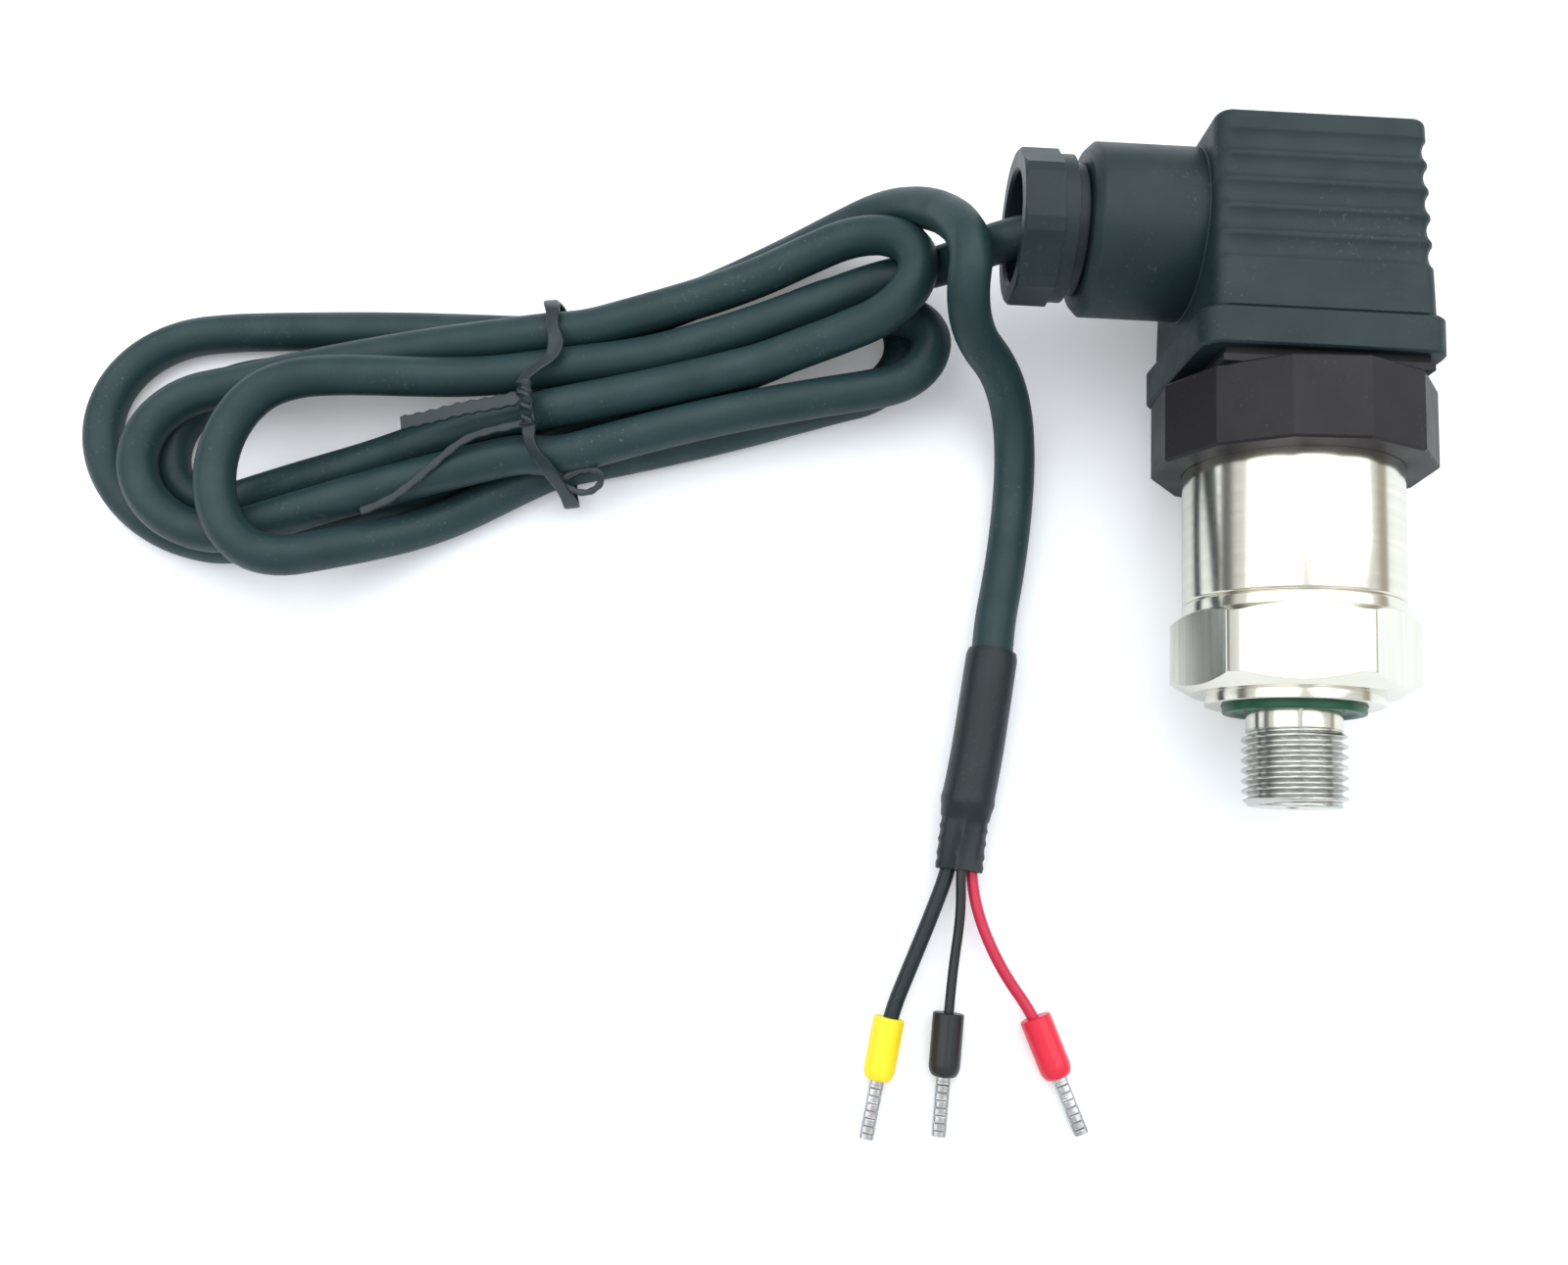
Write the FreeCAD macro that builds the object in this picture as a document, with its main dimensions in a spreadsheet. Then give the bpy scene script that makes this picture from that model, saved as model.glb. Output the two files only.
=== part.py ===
import FreeCAD, Part
"""Pressure transmitter with a G 1/4 process thread, a square cable plug and its free lead.

Every rigid piece is drawn standing up, with the thread's tip at height 0 and the plug on top.
The placements at the end of each section lay the whole instrument on a table, where it rests on
the rim of the twelve-sided base and on one corner of the hexagon. The cable's pieces are drawn
where they lie. All sizes are millimetres and come from the sheet.
"""
import math
import os

import Sketcher
from FreeCAD import Placement, Rotation, Vector

DIMENSIONS = {
    # process fitting: thread, collar, hexagon and welding shoulder
    "thread_radius": 6.58, "thread_top": 10.0, "thread_lead": 1.0, "port_radius": 2.0,
    "neck_radius": 6.0, "face_level": 13.0, "groove_floor": 14.0, "seal_radius": 9.0,
    "collar_radius": 11.25, "collar_top": 14.4, "hex_flats": 28.0, "hex_corner": 15.6,
    "hex_foot_radius": 13.1, "hex_foot": 15.92, "hex_shoulder": 23.62, "hex_top": 24.52,
    "tube_radius": 14.07, "shoulder_top": 26.14, "spigot_top": 28.6, "tube_bore": 12.5,
    "spigot_gap": 0.02, "cell_seat": 18.0, "cell_pocket": 9.15, "ring_groove_floor": 16.6,
    "ring_groove_inner": 5.6, "ring_groove_outer": 8.2, "hex_turn": -12.0,
    # sealing ring under the collar
    "seal_inner": 6.1, "seal_gap": 0.05, "seal_foot": 12.0, "seal_round": 0.35,
    # housing and what it holds
    "tube_top": 50.0, "cell_radius": 9.0, "cell_top": 24.4, "cell_step": 1.2,
    "cell_ring_radius": 6.9, "cell_ring_cord": 0.7,
    "retainer_radius": 9.1, "retainer_bore": 5.0, "retainer_top": 27.6, "spanner_slot": 1.6,
    "board_width": 20.0, "board_depth": 1.6, "board_foot": 29.6, "board_top": 46.0,
    "chip_width": 5.0, "chip_high": 4.0, "chip_thick": 1.1,
    "flex_width": 6.0, "flex_thick": 0.3, "flex_top": 31.1,
    # twelve-sided base
    "base_vertex": 18.18, "base_foot": 44.16, "base_top": 54.77, "base_edge": 0.3,
    "hub_radius": 12.3, "hub_foot": 41.0, "hub_bore": 10.4, "slot_top": 50.2, "slot_outer": 14.12,
    "ring_seat_low": 46.0, "ring_seat_high": 47.6, "ring_seat_radius": 11.0, "ring_cord": 0.75,
    "platform_half": 13.4, "platform_top": 55.77,
    "gasket_half": 13.0, "gasket_opening": 10.3, "gasket_top": 56.77,
    "nut_radius": 2.6, "nut_foot": 51.0, "nut_flange": 3.3,
    # contacts
    "blade_offset": 9.0, "blade_thick": 0.8, "blade_width": 6.3, "blade_foot": 47.5,
    "blade_top": 66.8, "blade_nose": 1.2,
    # plug housing
    "flange_left": 16.2, "flange_right": 15.4, "flange_half": 14.5, "flange_top": 61.89,
    "flange_round": 3.0, "body_left": 14.7, "body_right": 14.0, "body_half": 14.4,
    "body_top": 88.8, "body_draft": 1.3, "body_round": 2.2, "top_round": 1.1,
    "cavity_half": 11.9, "cavity_top": 85.6, "rib_pitch": 3.63, "rib_first": 69.8,
    "rib_count": 5.0, "rib_depth": 0.55, "rib_high": 2.7,
    "boss_radius": 5.4, "boss_foot": 82.6, "recess_radius": 3.9, "recess_floor": 84.8,
    "screw_hole": 1.7,
    "barrel_level": 77.2, "barrel_radius": 11.6, "barrel_reach": 29.0, "barrel_root": 12.4,
    "barrel_edge": 1.1, "barrel_bore": 8.0, "barrel_seat": 19.0, "barrel_way": 5.0,
    # contact insert, terminals and screws
    "insert_half": 11.7, "insert_foot": 57.3, "insert_top": 73.5, "chamber_inner": 5.2,
    "chamber_outer": 10.9, "chamber_half": 3.7, "chamber_floor": 60.0,
    "terminal_inner": 5.4, "terminal_outer": 10.7, "terminal_half": 3.5, "terminal_top": 70.0,
    "slit_thick": 0.9, "slit_half": 3.2, "slit_top": 67.4,
    "set_screw_radius": 1.5, "set_screw_offset": 7.0, "set_screw_foot": 67.6,
    "set_screw_top": 71.4, "screw_slot": 0.6, "slot_depth": 0.9,
    "fixing_radius": 1.5, "fixing_foot": 52.2, "head_radius": 3.3, "head_foot": 85.8,
    "head_top": 88.2, "washer_inner": 1.6, "washer_outer": 3.6,
    # cable gland, measured outwards from the plug's axis
    "gland_seal_radius": 7.9, "gland_seal_end": 25.5, "washer_end": 26.3,
    "gland_washer_radius": 7.8, "gland_washer_bore": 3.8,
    "gland_thread_radius": 7.95, "gland_collar_start": 29.3, "gland_collar_radius": 8.8,
    "gland_band_start": 30.8, "gland_band_radius": 9.8, "gland_grip_start": 32.75,
    "gland_end": 38.02, "gland_vertex": 10.42, "gland_flat": 9.94, "gland_bevel": 10.38,
    "gland_mouth": 7.4, "gland_throat": 6.0, "gland_throat_end": 30.4, "gland_edge": 0.4,
    "gland_turn": 1.5,
    # cable, sleeve, wires and ferrules
    "cable_radius": 2.9, "sleeve_radius": 3.6,
    "shrunk_wire_radius": 1.05, "black_wire_radius": 0.68, "red_wire_radius": 0.78,
    "collar_small": 1.7, "collar_large": 2.15, "collar_length": 8.3,
    "crimp_radius": 0.95, "crimp_length": 7.5,
    "hank_high": 10.8, "hank_edge": 2.4, "tie_width": 3.4, "tie_thick": 0.7,
    "tie_across": -104.0, "tie_near": 34.0, "tie_far": 55.6,
    # how it lies
    "lie_tilt": 4.877, "plug_turn": 4.6026, "lie_height": 14.821,
    "centre_across": -10.56, "centre_along": 31.63,
}


class Size:
    """A sheet value, or a formula of sheet values, kept as a number and as expression text."""

    def __init__(self, value, text):
        self.value = value
        self.text = text

    def joined(self, other, sign, value):
        """Returns the formula of this size and another one."""
        text = other.text if isinstance(other, Size) else repr(other)
        return Size(value, f"({self.text} {sign} {text})")

    def __add__(self, other):
        return self.joined(other, "+", float(self) + float(other))

    def __sub__(self, other):
        return self.joined(other, "-", float(self) - float(other))

    def __mul__(self, other):
        return self.joined(other, "*", float(self) * float(other))

    def __truediv__(self, other):
        return self.joined(other, "/", float(self) / float(other))

    def __neg__(self):
        return Size(-self.value, f"(-1 * {self.text})")

    def __float__(self):
        return float(self.value)


class Sheet:
    """The spreadsheet of driving dimensions, read by alias as attributes."""

    def __init__(self, document, dimensions):
        self.sheet = document.addObject("Spreadsheet::Sheet", "dims")
        self.values = dimensions
        for row, (alias, value) in enumerate(dimensions.items(), start=1):
            self.sheet.set(f"A{row}", alias)
            self.sheet.set(f"B{row}", str(value))
            self.sheet.setAlias(f"B{row}", alias)

    def __getattr__(self, alias):
        return Size(self.values[alias], f"dims.{alias}")


DOC = FreeCAD.newDocument("pressure_transmitter")
D = Sheet(DOC, DIMENSIONS)
DOC.recompute()
ZERO = Size(0.0, "0")
NODES = []


# ---------------------------------------------------------------- helpers for bodies and sketches

def new_body(name):
    """Starts a sub-part whose label names its file."""
    body = DOC.addObject("PartDesign::Body", name)
    body.Label = name
    NODES.append(body)
    return body


def new_sketch(body, name, role="XY_Plane", level=ZERO):
    """Puts a sketch on one of the body's own origin planes, moved along its normal by level."""
    plane = next(item for item in body.Origin.OriginFeatures if item.Role == role)
    sketch = body.newObject("Sketcher::SketchObject", f"{body.Label}_{name}")
    sketch.AttachmentSupport = [(plane, "")]
    sketch.MapMode = "FlatFace"
    sketch.AttachmentOffset = Placement(Vector(0, 0, float(level)), Rotation())
    if level is not ZERO:
        sketch.setExpression("AttachmentOffset.Base.z", level.text)
    return sketch


def bind(sketch, constraint, size):
    """Adds a dimension to a sketch and binds it to the sheet."""
    index = sketch.addConstraint(constraint)
    sketch.setExpression(f"Constraints[{index}]", size.text)


def tie_point(sketch, geometry, corner, place):
    """Ties a point of the sketch to its distances from the sketch's origin."""
    for kind, axis, size in (("DistanceX", -2, place[0]), ("DistanceY", -1, place[1])):
        value = float(size)
        if abs(value) < 1e-9:
            sketch.addConstraint(Sketcher.Constraint("PointOnObject", geometry, corner, axis))
        elif value > 0:
            bind(sketch, Sketcher.Constraint(kind, -1, 1, geometry, corner, value), size)
        else:
            bind(sketch, Sketcher.Constraint(kind, geometry, corner, -1, 1, -value), -size)


def outline(sketch, corners):
    """Draws a closed outline of straight lines through corners, each tied to the sheet."""
    start = sketch.GeometryCount
    points = [Vector(float(across), float(up), 0) for across, up in corners]
    count = len(points)
    for index, point in enumerate(points):
        sketch.addGeometry(Part.LineSegment(point, points[(index + 1) % count]), False)
    for index in range(count):
        after = start + (index + 1) % count
        sketch.addConstraint(Sketcher.Constraint("Coincident", start + index, 2, after, 1))
    for index, corner in enumerate(corners):
        tie_point(sketch, start + index, 1, corner)


def rectangle(sketch, left, right, low, high):
    """Draws a rectangle between two pairs of sides."""
    outline(sketch, [(left, low), (right, low), (right, high), (left, high)])


def rounded_rectangle(sketch, left, right, low, high, radius):
    """Draws a rectangle whose corners are tangent arcs of one radius."""
    size = float(radius)
    arcs = []
    for across, up, start in ((right, high, 0), (left, high, 90), (left, low, 180),
                              (right, low, 270)):
        centre = Vector(float(across) - math.copysign(size, float(across)),
                        float(up) - math.copysign(size, float(up)), 0)
        arc = Part.ArcOfCircle(Part.Circle(centre, Vector(0, 0, 1), size),
                               math.radians(start), math.radians(start + 90))
        arcs.append(sketch.addGeometry(arc, False))
    bind(sketch, Sketcher.Constraint("Radius", arcs[0], size), radius)
    for index, (arc, level) in enumerate(zip(arcs, (high, left, low, right))):
        after = arcs[(index + 1) % 4]
        line = Part.LineSegment(sketch.getPoint(arc, 2), sketch.getPoint(after, 1))
        side = sketch.addGeometry(line, False)
        sketch.addConstraint(Sketcher.Constraint("Tangent", arc, 2, side, 1))
        sketch.addConstraint(Sketcher.Constraint("Tangent", side, 2, after, 1))
        if index:
            sketch.addConstraint(Sketcher.Constraint("Equal", arcs[0], arc))
        flat = index % 2 == 0
        sketch.addConstraint(Sketcher.Constraint("Horizontal" if flat else "Vertical", side))
        kind = "DistanceY" if flat else "DistanceX"
        if float(level) > 0:
            bind(sketch, Sketcher.Constraint(kind, -1, 1, side, 1, float(level)), level)
        else:
            bind(sketch, Sketcher.Constraint(kind, side, 1, -1, 1, -float(level)), -level)


def circle(sketch, radius, centre=(ZERO, ZERO)):
    """Draws a circle of a sheet radius round a tied centre."""
    middle = Vector(float(centre[0]), float(centre[1]), 0)
    index = sketch.addGeometry(Part.Circle(middle, Vector(0, 0, 1), float(radius)), False)
    tie_point(sketch, index, 3, centre)
    bind(sketch, Sketcher.Constraint("Radius", index, float(radius)), radius)


def polygon(sketch, count, vertex_radius, first_angle=0.0):
    """Draws a regular polygon on a construction circle, its first corner at first_angle."""
    rim = sketch.addGeometry(Part.Circle(Vector(), Vector(0, 0, 1), float(vertex_radius)), True)
    tie_point(sketch, rim, 3, (ZERO, ZERO))
    bind(sketch, Sketcher.Constraint("Radius", rim, float(vertex_radius)), vertex_radius)
    turns = [math.radians(first_angle + 360.0 * index / count) for index in range(count)]
    points = [Vector(math.cos(turn), math.sin(turn), 0) * float(vertex_radius) for turn in turns]
    sides = [sketch.addGeometry(Part.LineSegment(points[i], points[(i + 1) % count]), False)
             for i in range(count)]
    for index, side in enumerate(sides):
        after = sides[(index + 1) % count]
        sketch.addConstraint(Sketcher.Constraint("Coincident", side, 2, after, 1))
        sketch.addConstraint(Sketcher.Constraint("PointOnObject", side, 1, rim))
        if index:
            sketch.addConstraint(Sketcher.Constraint("Equal", sides[0], side))
    lean = math.radians(first_angle + 90.0 + 180.0 / count)
    sketch.addConstraint(Sketcher.Constraint("Angle", sides[0], lean))


def revolve(body, name, corners):
    """Turns an outline of (radius, height) corners once round the body's Z axis."""
    sketch = new_sketch(body, name, "XZ_Plane")
    outline(sketch, corners)
    feature = body.newObject("PartDesign::Revolution", f"{body.Label}_{name}_turned")
    feature.Profile = sketch
    feature.ReferenceAxis = (sketch, ["V_Axis"])
    feature.Angle = 360.0
    return feature


def groove(body, name, corners):
    """Cuts a turned groove with an outline of (radius, height) corners."""
    sketch = new_sketch(body, name, "XZ_Plane")
    outline(sketch, corners)
    feature = body.newObject("PartDesign::Groove", f"{body.Label}_{name}_cut")
    feature.Profile = sketch
    feature.ReferenceAxis = (sketch, ["V_Axis"])
    feature.Angle = 360.0
    return feature


def pad(body, sketch, length, backwards=False):
    """Raises a sketch into a solid."""
    feature = body.newObject("PartDesign::Pad", f"{sketch.Label}_pad")
    feature.Profile = sketch
    feature.Reversed = backwards
    feature.setExpression("Length", length.text)
    return feature


def pocket(body, sketch, length, upwards=True):
    """Cuts a sketch into the body; upwards means along the sketch's normal."""
    feature = body.newObject("PartDesign::Pocket", f"{sketch.Label}_pocket")
    feature.Profile = sketch
    feature.Reversed = upwards
    feature.setExpression("Length", length.text)
    return feature


def dress(body, kind, name, base, size, chosen):
    """Adds a fillet or chamfer to the edges of base that the test chooses."""
    DOC.recompute()
    names = [f"Edge{i}" for i, edge in enumerate(base.Shape.Edges, start=1) if chosen(edge)]
    feature = body.newObject(f"PartDesign::{kind}", f"{body.Label}_{name}")
    feature.Base = (base, names)
    feature.setExpression("Radius" if kind == "Fillet" else "Size", size.text)
    return feature


def is_upright(edge):
    """Tells whether a straight edge stands nearly along Z."""
    ends = edge.Vertexes
    if len(ends) != 2 or not isinstance(edge.Curve, Part.Line):
        return False
    run = ends[1].Point - ends[0].Point
    return run.Length > 1.0 and abs(run.z) > 0.95 * run.Length


def lies_at(level):
    """Returns a test for edges that lie in the level plane."""
    return lambda edge: all(abs(vertex.Point.z - level) < 1e-4 for vertex in edge.Vertexes)


def reaches(across):
    """Gives the test for an edge that lies wholly at one distance across."""
    def test(edge):
        return max(abs(point.Point.x - across) for point in edge.Vertexes) < 1e-6
    return test


def new_feature(name, shape):
    """Adds a plain solid where sketches don't fit the form."""
    feature = DOC.addObject("Part::Feature", name)
    feature.Label = name
    feature.Shape = shape
    NODES.append(feature)
    return feature


# ---------------------------------------------------------------- where the groups lie

UPRIGHT_TO_TABLE = Placement(
    Vector(-float(D.centre_across), -float(D.centre_along), float(D.lie_height)),
    Rotation(Vector(1, 0, 0), -90.0 + float(D.lie_tilt)),
).multiply(Placement(Vector(0, 0, -float(D.face_level)), Rotation()))
TURNED_WITH_PLUG = UPRIGHT_TO_TABLE.multiply(
    Placement(Vector(), Rotation(Vector(0, 0, 1), float(D.plug_turn))))
TURNED_WITH_HEX = UPRIGHT_TO_TABLE.multiply(
    Placement(Vector(), Rotation(Vector(0, 0, 1), float(D.hex_turn))))
GLAND_AXIS = TURNED_WITH_PLUG.multiply(
    Placement(Vector(0, 0, float(D.barrel_level)), Rotation(Vector(0, 1, 0), -90.0)))
TABLE = Placement(Vector(-float(D.centre_across), -float(D.centre_along), 0), Rotation())


# ---------------------------------------------------------------- steel fitting and housing

def process_fitting():
    """Turned and milled steel fitting with port, sealing groove, cell pocket and spigot."""
    body = new_body("process_fitting")
    spigot = D.tube_bore - D.spigot_gap
    blank = revolve(body, "blank", [
        (D.port_radius, ZERO), (D.thread_radius - D.thread_lead, ZERO),
        (D.thread_radius, D.thread_lead), (D.thread_radius, D.thread_top),
        (D.neck_radius, D.thread_top), (D.neck_radius, D.groove_floor),
        (D.seal_radius, D.groove_floor), (D.seal_radius, D.face_level),
        (D.collar_radius, D.face_level), (D.collar_radius, D.collar_top),
        (D.hex_foot_radius, D.collar_top), (D.hex_corner, D.hex_foot),
        (D.hex_corner, D.hex_shoulder), (D.tube_radius, D.hex_top),
        (D.tube_radius, D.shoulder_top), (spigot, D.shoulder_top), (spigot, D.spigot_top),
        (D.cell_pocket, D.spigot_top), (D.cell_pocket, D.cell_seat),
        (D.ring_groove_outer, D.cell_seat), (D.ring_groove_outer, D.ring_groove_floor),
        (D.ring_groove_inner, D.ring_groove_floor), (D.ring_groove_inner, D.cell_seat),
        (D.port_radius, D.cell_seat),
    ])
    DOC.recompute()
    turned_volume = blank.Shape.Volume
    flats = new_sketch(body, "flats", level=D.collar_top)
    circle(flats, D.hex_corner * 1.3)
    polygon(flats, 6, D.hex_flats / math.sqrt(3.0))
    milled = pocket(body, flats, D.hex_top - D.collar_top)
    DOC.recompute()
    if milled.Shape.Volume > turned_volume - 100.0:
        raise RuntimeError("the hexagon's flats aren't cut")
    body.Placement = TURNED_WITH_HEX


def seal_ring():
    """Profiled sealing ring that stands out of the groove under the collar."""
    body = new_body("seal_ring")
    outer = D.seal_radius - D.seal_gap
    ring = revolve(body, "ring", [
        (D.seal_inner, D.seal_foot), (outer, D.seal_foot),
        (outer, D.groove_floor), (D.seal_inner, D.groove_floor)])
    dress(body, "Fillet", "rounded", ring, D.seal_round, lies_at(float(D.seal_foot)))
    body.Placement = UPRIGHT_TO_TABLE


def housing_tube():
    """Steel tube, welded to the shoulder and pushed into the base."""
    body = new_body("housing_tube")
    revolve(body, "tube", [
        (D.tube_bore, D.shoulder_top), (D.tube_radius, D.shoulder_top),
        (D.tube_radius, D.tube_top), (D.tube_bore, D.tube_top)])
    body.Placement = UPRIGHT_TO_TABLE


def sensor_cell():
    """Ceramic cell with a recessed rear for its bonding pads."""
    body = new_body("sensor_cell")
    revolve(body, "disc", [
        (ZERO, D.cell_seat), (D.cell_radius, D.cell_seat), (D.cell_radius, D.cell_top),
        (D.retainer_bore, D.cell_top), (D.retainer_bore, D.cell_top - D.cell_step),
        (ZERO, D.cell_top - D.cell_step)])
    body.Placement = UPRIGHT_TO_TABLE


def ring_seal(name, ring_radius, cord_radius, level):
    """O-ring that lies in a groove."""
    ring = DOC.addObject("Part::Torus", name)
    ring.Label = name
    ring.setExpression("Radius1", ring_radius.text)
    ring.setExpression("Radius2", cord_radius.text)
    ring.Placement = UPRIGHT_TO_TABLE.multiply(Placement(Vector(0, 0, float(level)), Rotation()))
    NODES.append(ring)


def cell_retainer():
    """Threaded ring that clamps the cell, with two spanner slots."""
    body = new_body("cell_retainer")
    revolve(body, "ring", [
        (D.retainer_bore, D.cell_top), (D.retainer_radius, D.cell_top),
        (D.retainer_radius, D.retainer_top), (D.retainer_bore, D.retainer_top)])
    slots = new_sketch(body, "slots", level=D.retainer_top)
    half = D.spanner_slot / 2.0
    rectangle(slots, -D.cell_radius * 1.1, D.cell_radius * 1.1, -half, half)
    pocket(body, slots, D.spanner_slot, upwards=False)
    body.Placement = UPRIGHT_TO_TABLE


def amplifier_board():
    """Circuit board that stands upright in the tube."""
    board = DOC.addObject("Part::Box", "amplifier_board")
    board.Label = "amplifier_board"
    board.setExpression("Length", D.board_width.text)
    board.setExpression("Width", D.board_depth.text)
    board.setExpression("Height", (D.board_top - D.board_foot).text)
    corner = Vector(-float(D.board_width) / 2, -float(D.board_depth) / 2, float(D.board_foot))
    board.Placement = UPRIGHT_TO_TABLE.multiply(Placement(corner, Rotation()))
    NODES.append(board)


def board_components():
    """Amplifier chip and capacitors on the board's front."""
    body = new_body("board_components")
    front = D.board_depth / 2.0
    chip = new_sketch(body, "chip", "XZ_Plane", front)
    middle = D.board_foot + (D.board_top - D.board_foot) / 2.0
    rectangle(chip, -D.chip_width / 2.0, D.chip_width / 2.0,
              middle - D.chip_high / 2.0, middle + D.chip_high / 2.0)
    pad(body, chip, D.chip_thick)
    body.Placement = UPRIGHT_TO_TABLE


def cell_flex():
    """Flat flexible lead from the cell's rear up to the board's foot."""
    body = new_body("cell_flex")
    side = new_sketch(body, "strip", "XZ_Plane", D.board_depth / 2.0)
    half = D.flex_width / 2.0
    rectangle(side, -half, half, D.cell_top - D.cell_step, D.flex_top)
    pad(body, side, D.flex_thick)
    body.Placement = UPRIGHT_TO_TABLE


# ---------------------------------------------------------------- base, gasket and contacts

def blade_places():
    """Gives each contact's name, and the angle of its side of the plug."""
    return (("contact_blade_1", 0.0), ("contact_blade_2", 90.0),
            ("contact_blade_3", 180.0), ("earth_blade", 270.0))


def blade_slots(sketch, thick, half):
    """Draws the four contact slots, two across and two along."""
    near, far = D.blade_offset - thick / 2.0, D.blade_offset + thick / 2.0
    rectangle(sketch, near, far, -half, half)
    rectangle(sketch, -far, -near, -half, half)
    rectangle(sketch, -half, half, near, far)
    rectangle(sketch, -half, half, -far, -near)


def connector_base():
    """Moulded twelve-sided base: hub in the tube, deck with contact slots, square platform."""
    body = new_body("connector_base")
    prism = new_sketch(body, "prism", level=D.base_foot)
    polygon(prism, 12, D.base_vertex, 15.0 - float(D.plug_turn))
    block = pad(body, prism, D.base_top - D.base_foot)
    dress(body, "Chamfer", "rims", block, D.base_edge, lambda edge: not is_upright(edge))
    hub = new_sketch(body, "hub", level=D.hub_foot)
    circle(hub, D.hub_radius)
    pad(body, hub, D.slot_top - D.hub_foot)
    platform = new_sketch(body, "platform", level=D.base_top)
    rectangle(platform, -D.platform_half, D.platform_half, -D.platform_half, D.platform_half)
    pad(body, platform, D.platform_top - D.base_top)
    slot = new_sketch(body, "tube_slot", level=D.base_foot)
    circle(slot, D.slot_outer)
    circle(slot, D.hub_radius)
    pocket(body, slot, D.slot_top - D.base_foot)
    bore = new_sketch(body, "hub_bore", level=D.hub_foot)
    circle(bore, D.hub_bore)
    pocket(body, bore, D.slot_top - D.hub_foot)
    slots = new_sketch(body, "blade_slots", level=D.platform_top)
    blade_slots(slots, D.blade_thick, D.blade_width / 2.0)
    pocket(body, slots, D.platform_top - D.slot_top, upwards=False)
    groove(body, "ring_seat", [
        (D.ring_seat_radius, D.ring_seat_low), (D.slot_outer, D.ring_seat_low),
        (D.slot_outer, D.ring_seat_high), (D.ring_seat_radius, D.ring_seat_high)])
    groove(body, "nut_seat", [
        (ZERO, D.slot_top), (D.nut_flange, D.slot_top),
        (D.nut_flange, D.nut_foot), (D.nut_radius, D.nut_foot),
        (D.nut_radius, D.platform_top), (ZERO, D.platform_top)])
    body.Placement = TURNED_WITH_PLUG


def base_nut():
    """Brass insert nut for the plug's long screw."""
    body = new_body("base_nut")
    revolve(body, "nut", [
        (D.fixing_radius, D.slot_top), (D.nut_flange, D.slot_top),
        (D.nut_flange, D.nut_foot), (D.nut_radius, D.nut_foot),
        (D.nut_radius, D.platform_top), (D.fixing_radius, D.platform_top)])
    body.Placement = UPRIGHT_TO_TABLE


def contact_blades():
    """Flat contacts with tapered noses, one on each side of the screw."""
    for name, angle in blade_places():
        body = new_body(name)
        face = new_sketch(body, "face", "YZ_Plane", D.blade_offset - D.blade_thick / 2.0)
        half = D.blade_width / 2.0
        nose = half - D.blade_nose
        outline(face, [(-half, D.blade_foot), (half, D.blade_foot),
                       (half, D.blade_top - D.blade_nose), (nose, D.blade_top),
                       (-nose, D.blade_top), (-half, D.blade_top - D.blade_nose)])
        pad(body, face, D.blade_thick)
        body.Placement = TURNED_WITH_PLUG.multiply(
            Placement(Vector(), Rotation(Vector(0, 0, 1), angle)))


def flat_gasket():
    """Square flat gasket between the base and the plug."""
    body = new_body("flat_gasket")
    frame = new_sketch(body, "frame", level=D.platform_top)
    rectangle(frame, -D.gasket_half, D.gasket_half, -D.gasket_half, D.gasket_half)
    rectangle(frame, -D.gasket_opening, D.gasket_opening, -D.gasket_opening, D.gasket_opening)
    pad(body, frame, D.gasket_top - D.platform_top)
    body.Placement = TURNED_WITH_PLUG


# ---------------------------------------------------------------- plug

def rib_scallops(sketch, side, inwards):
    """Draws the row of shallow arcs that leaves the grip ribs standing on one face."""
    for index in range(int(D.rib_count.value)):
        low = D.rib_first + D.rib_pitch * float(index) - D.rib_high / 2.0
        high = low + D.rib_high
        start = sketch.GeometryCount
        edge, floor = float(side), float(side) + inwards * float(D.rib_depth)
        ends = (Vector(edge, float(low), 0), Vector(edge, float(high), 0))
        middle = Vector(floor, (float(low) + float(high)) / 2.0, 0)
        sketch.addGeometry(Part.Arc(ends[0], middle, ends[1]), False)
        sketch.addGeometry(Part.LineSegment(ends[0], ends[1]), False)
        first = 1 if sketch.Geometry[start].StartPoint.distanceToPoint(ends[0]) < 1e-6 else 2
        sketch.addConstraint(Sketcher.Constraint("Coincident", start, first, start + 1, 1))
        sketch.addConstraint(Sketcher.Constraint("Coincident", start, 3 - first, start + 1, 2))
        tie_point(sketch, start + 1, 1, (side, low))
        tie_point(sketch, start + 1, 2, (side, high))
        width = D.rib_high
        bind(sketch, Sketcher.Constraint("Radius", start, sketch.Geometry[start].Radius),
             (width * width / 4.0 + D.rib_depth * D.rib_depth) / (D.rib_depth * 2.0))


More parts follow.
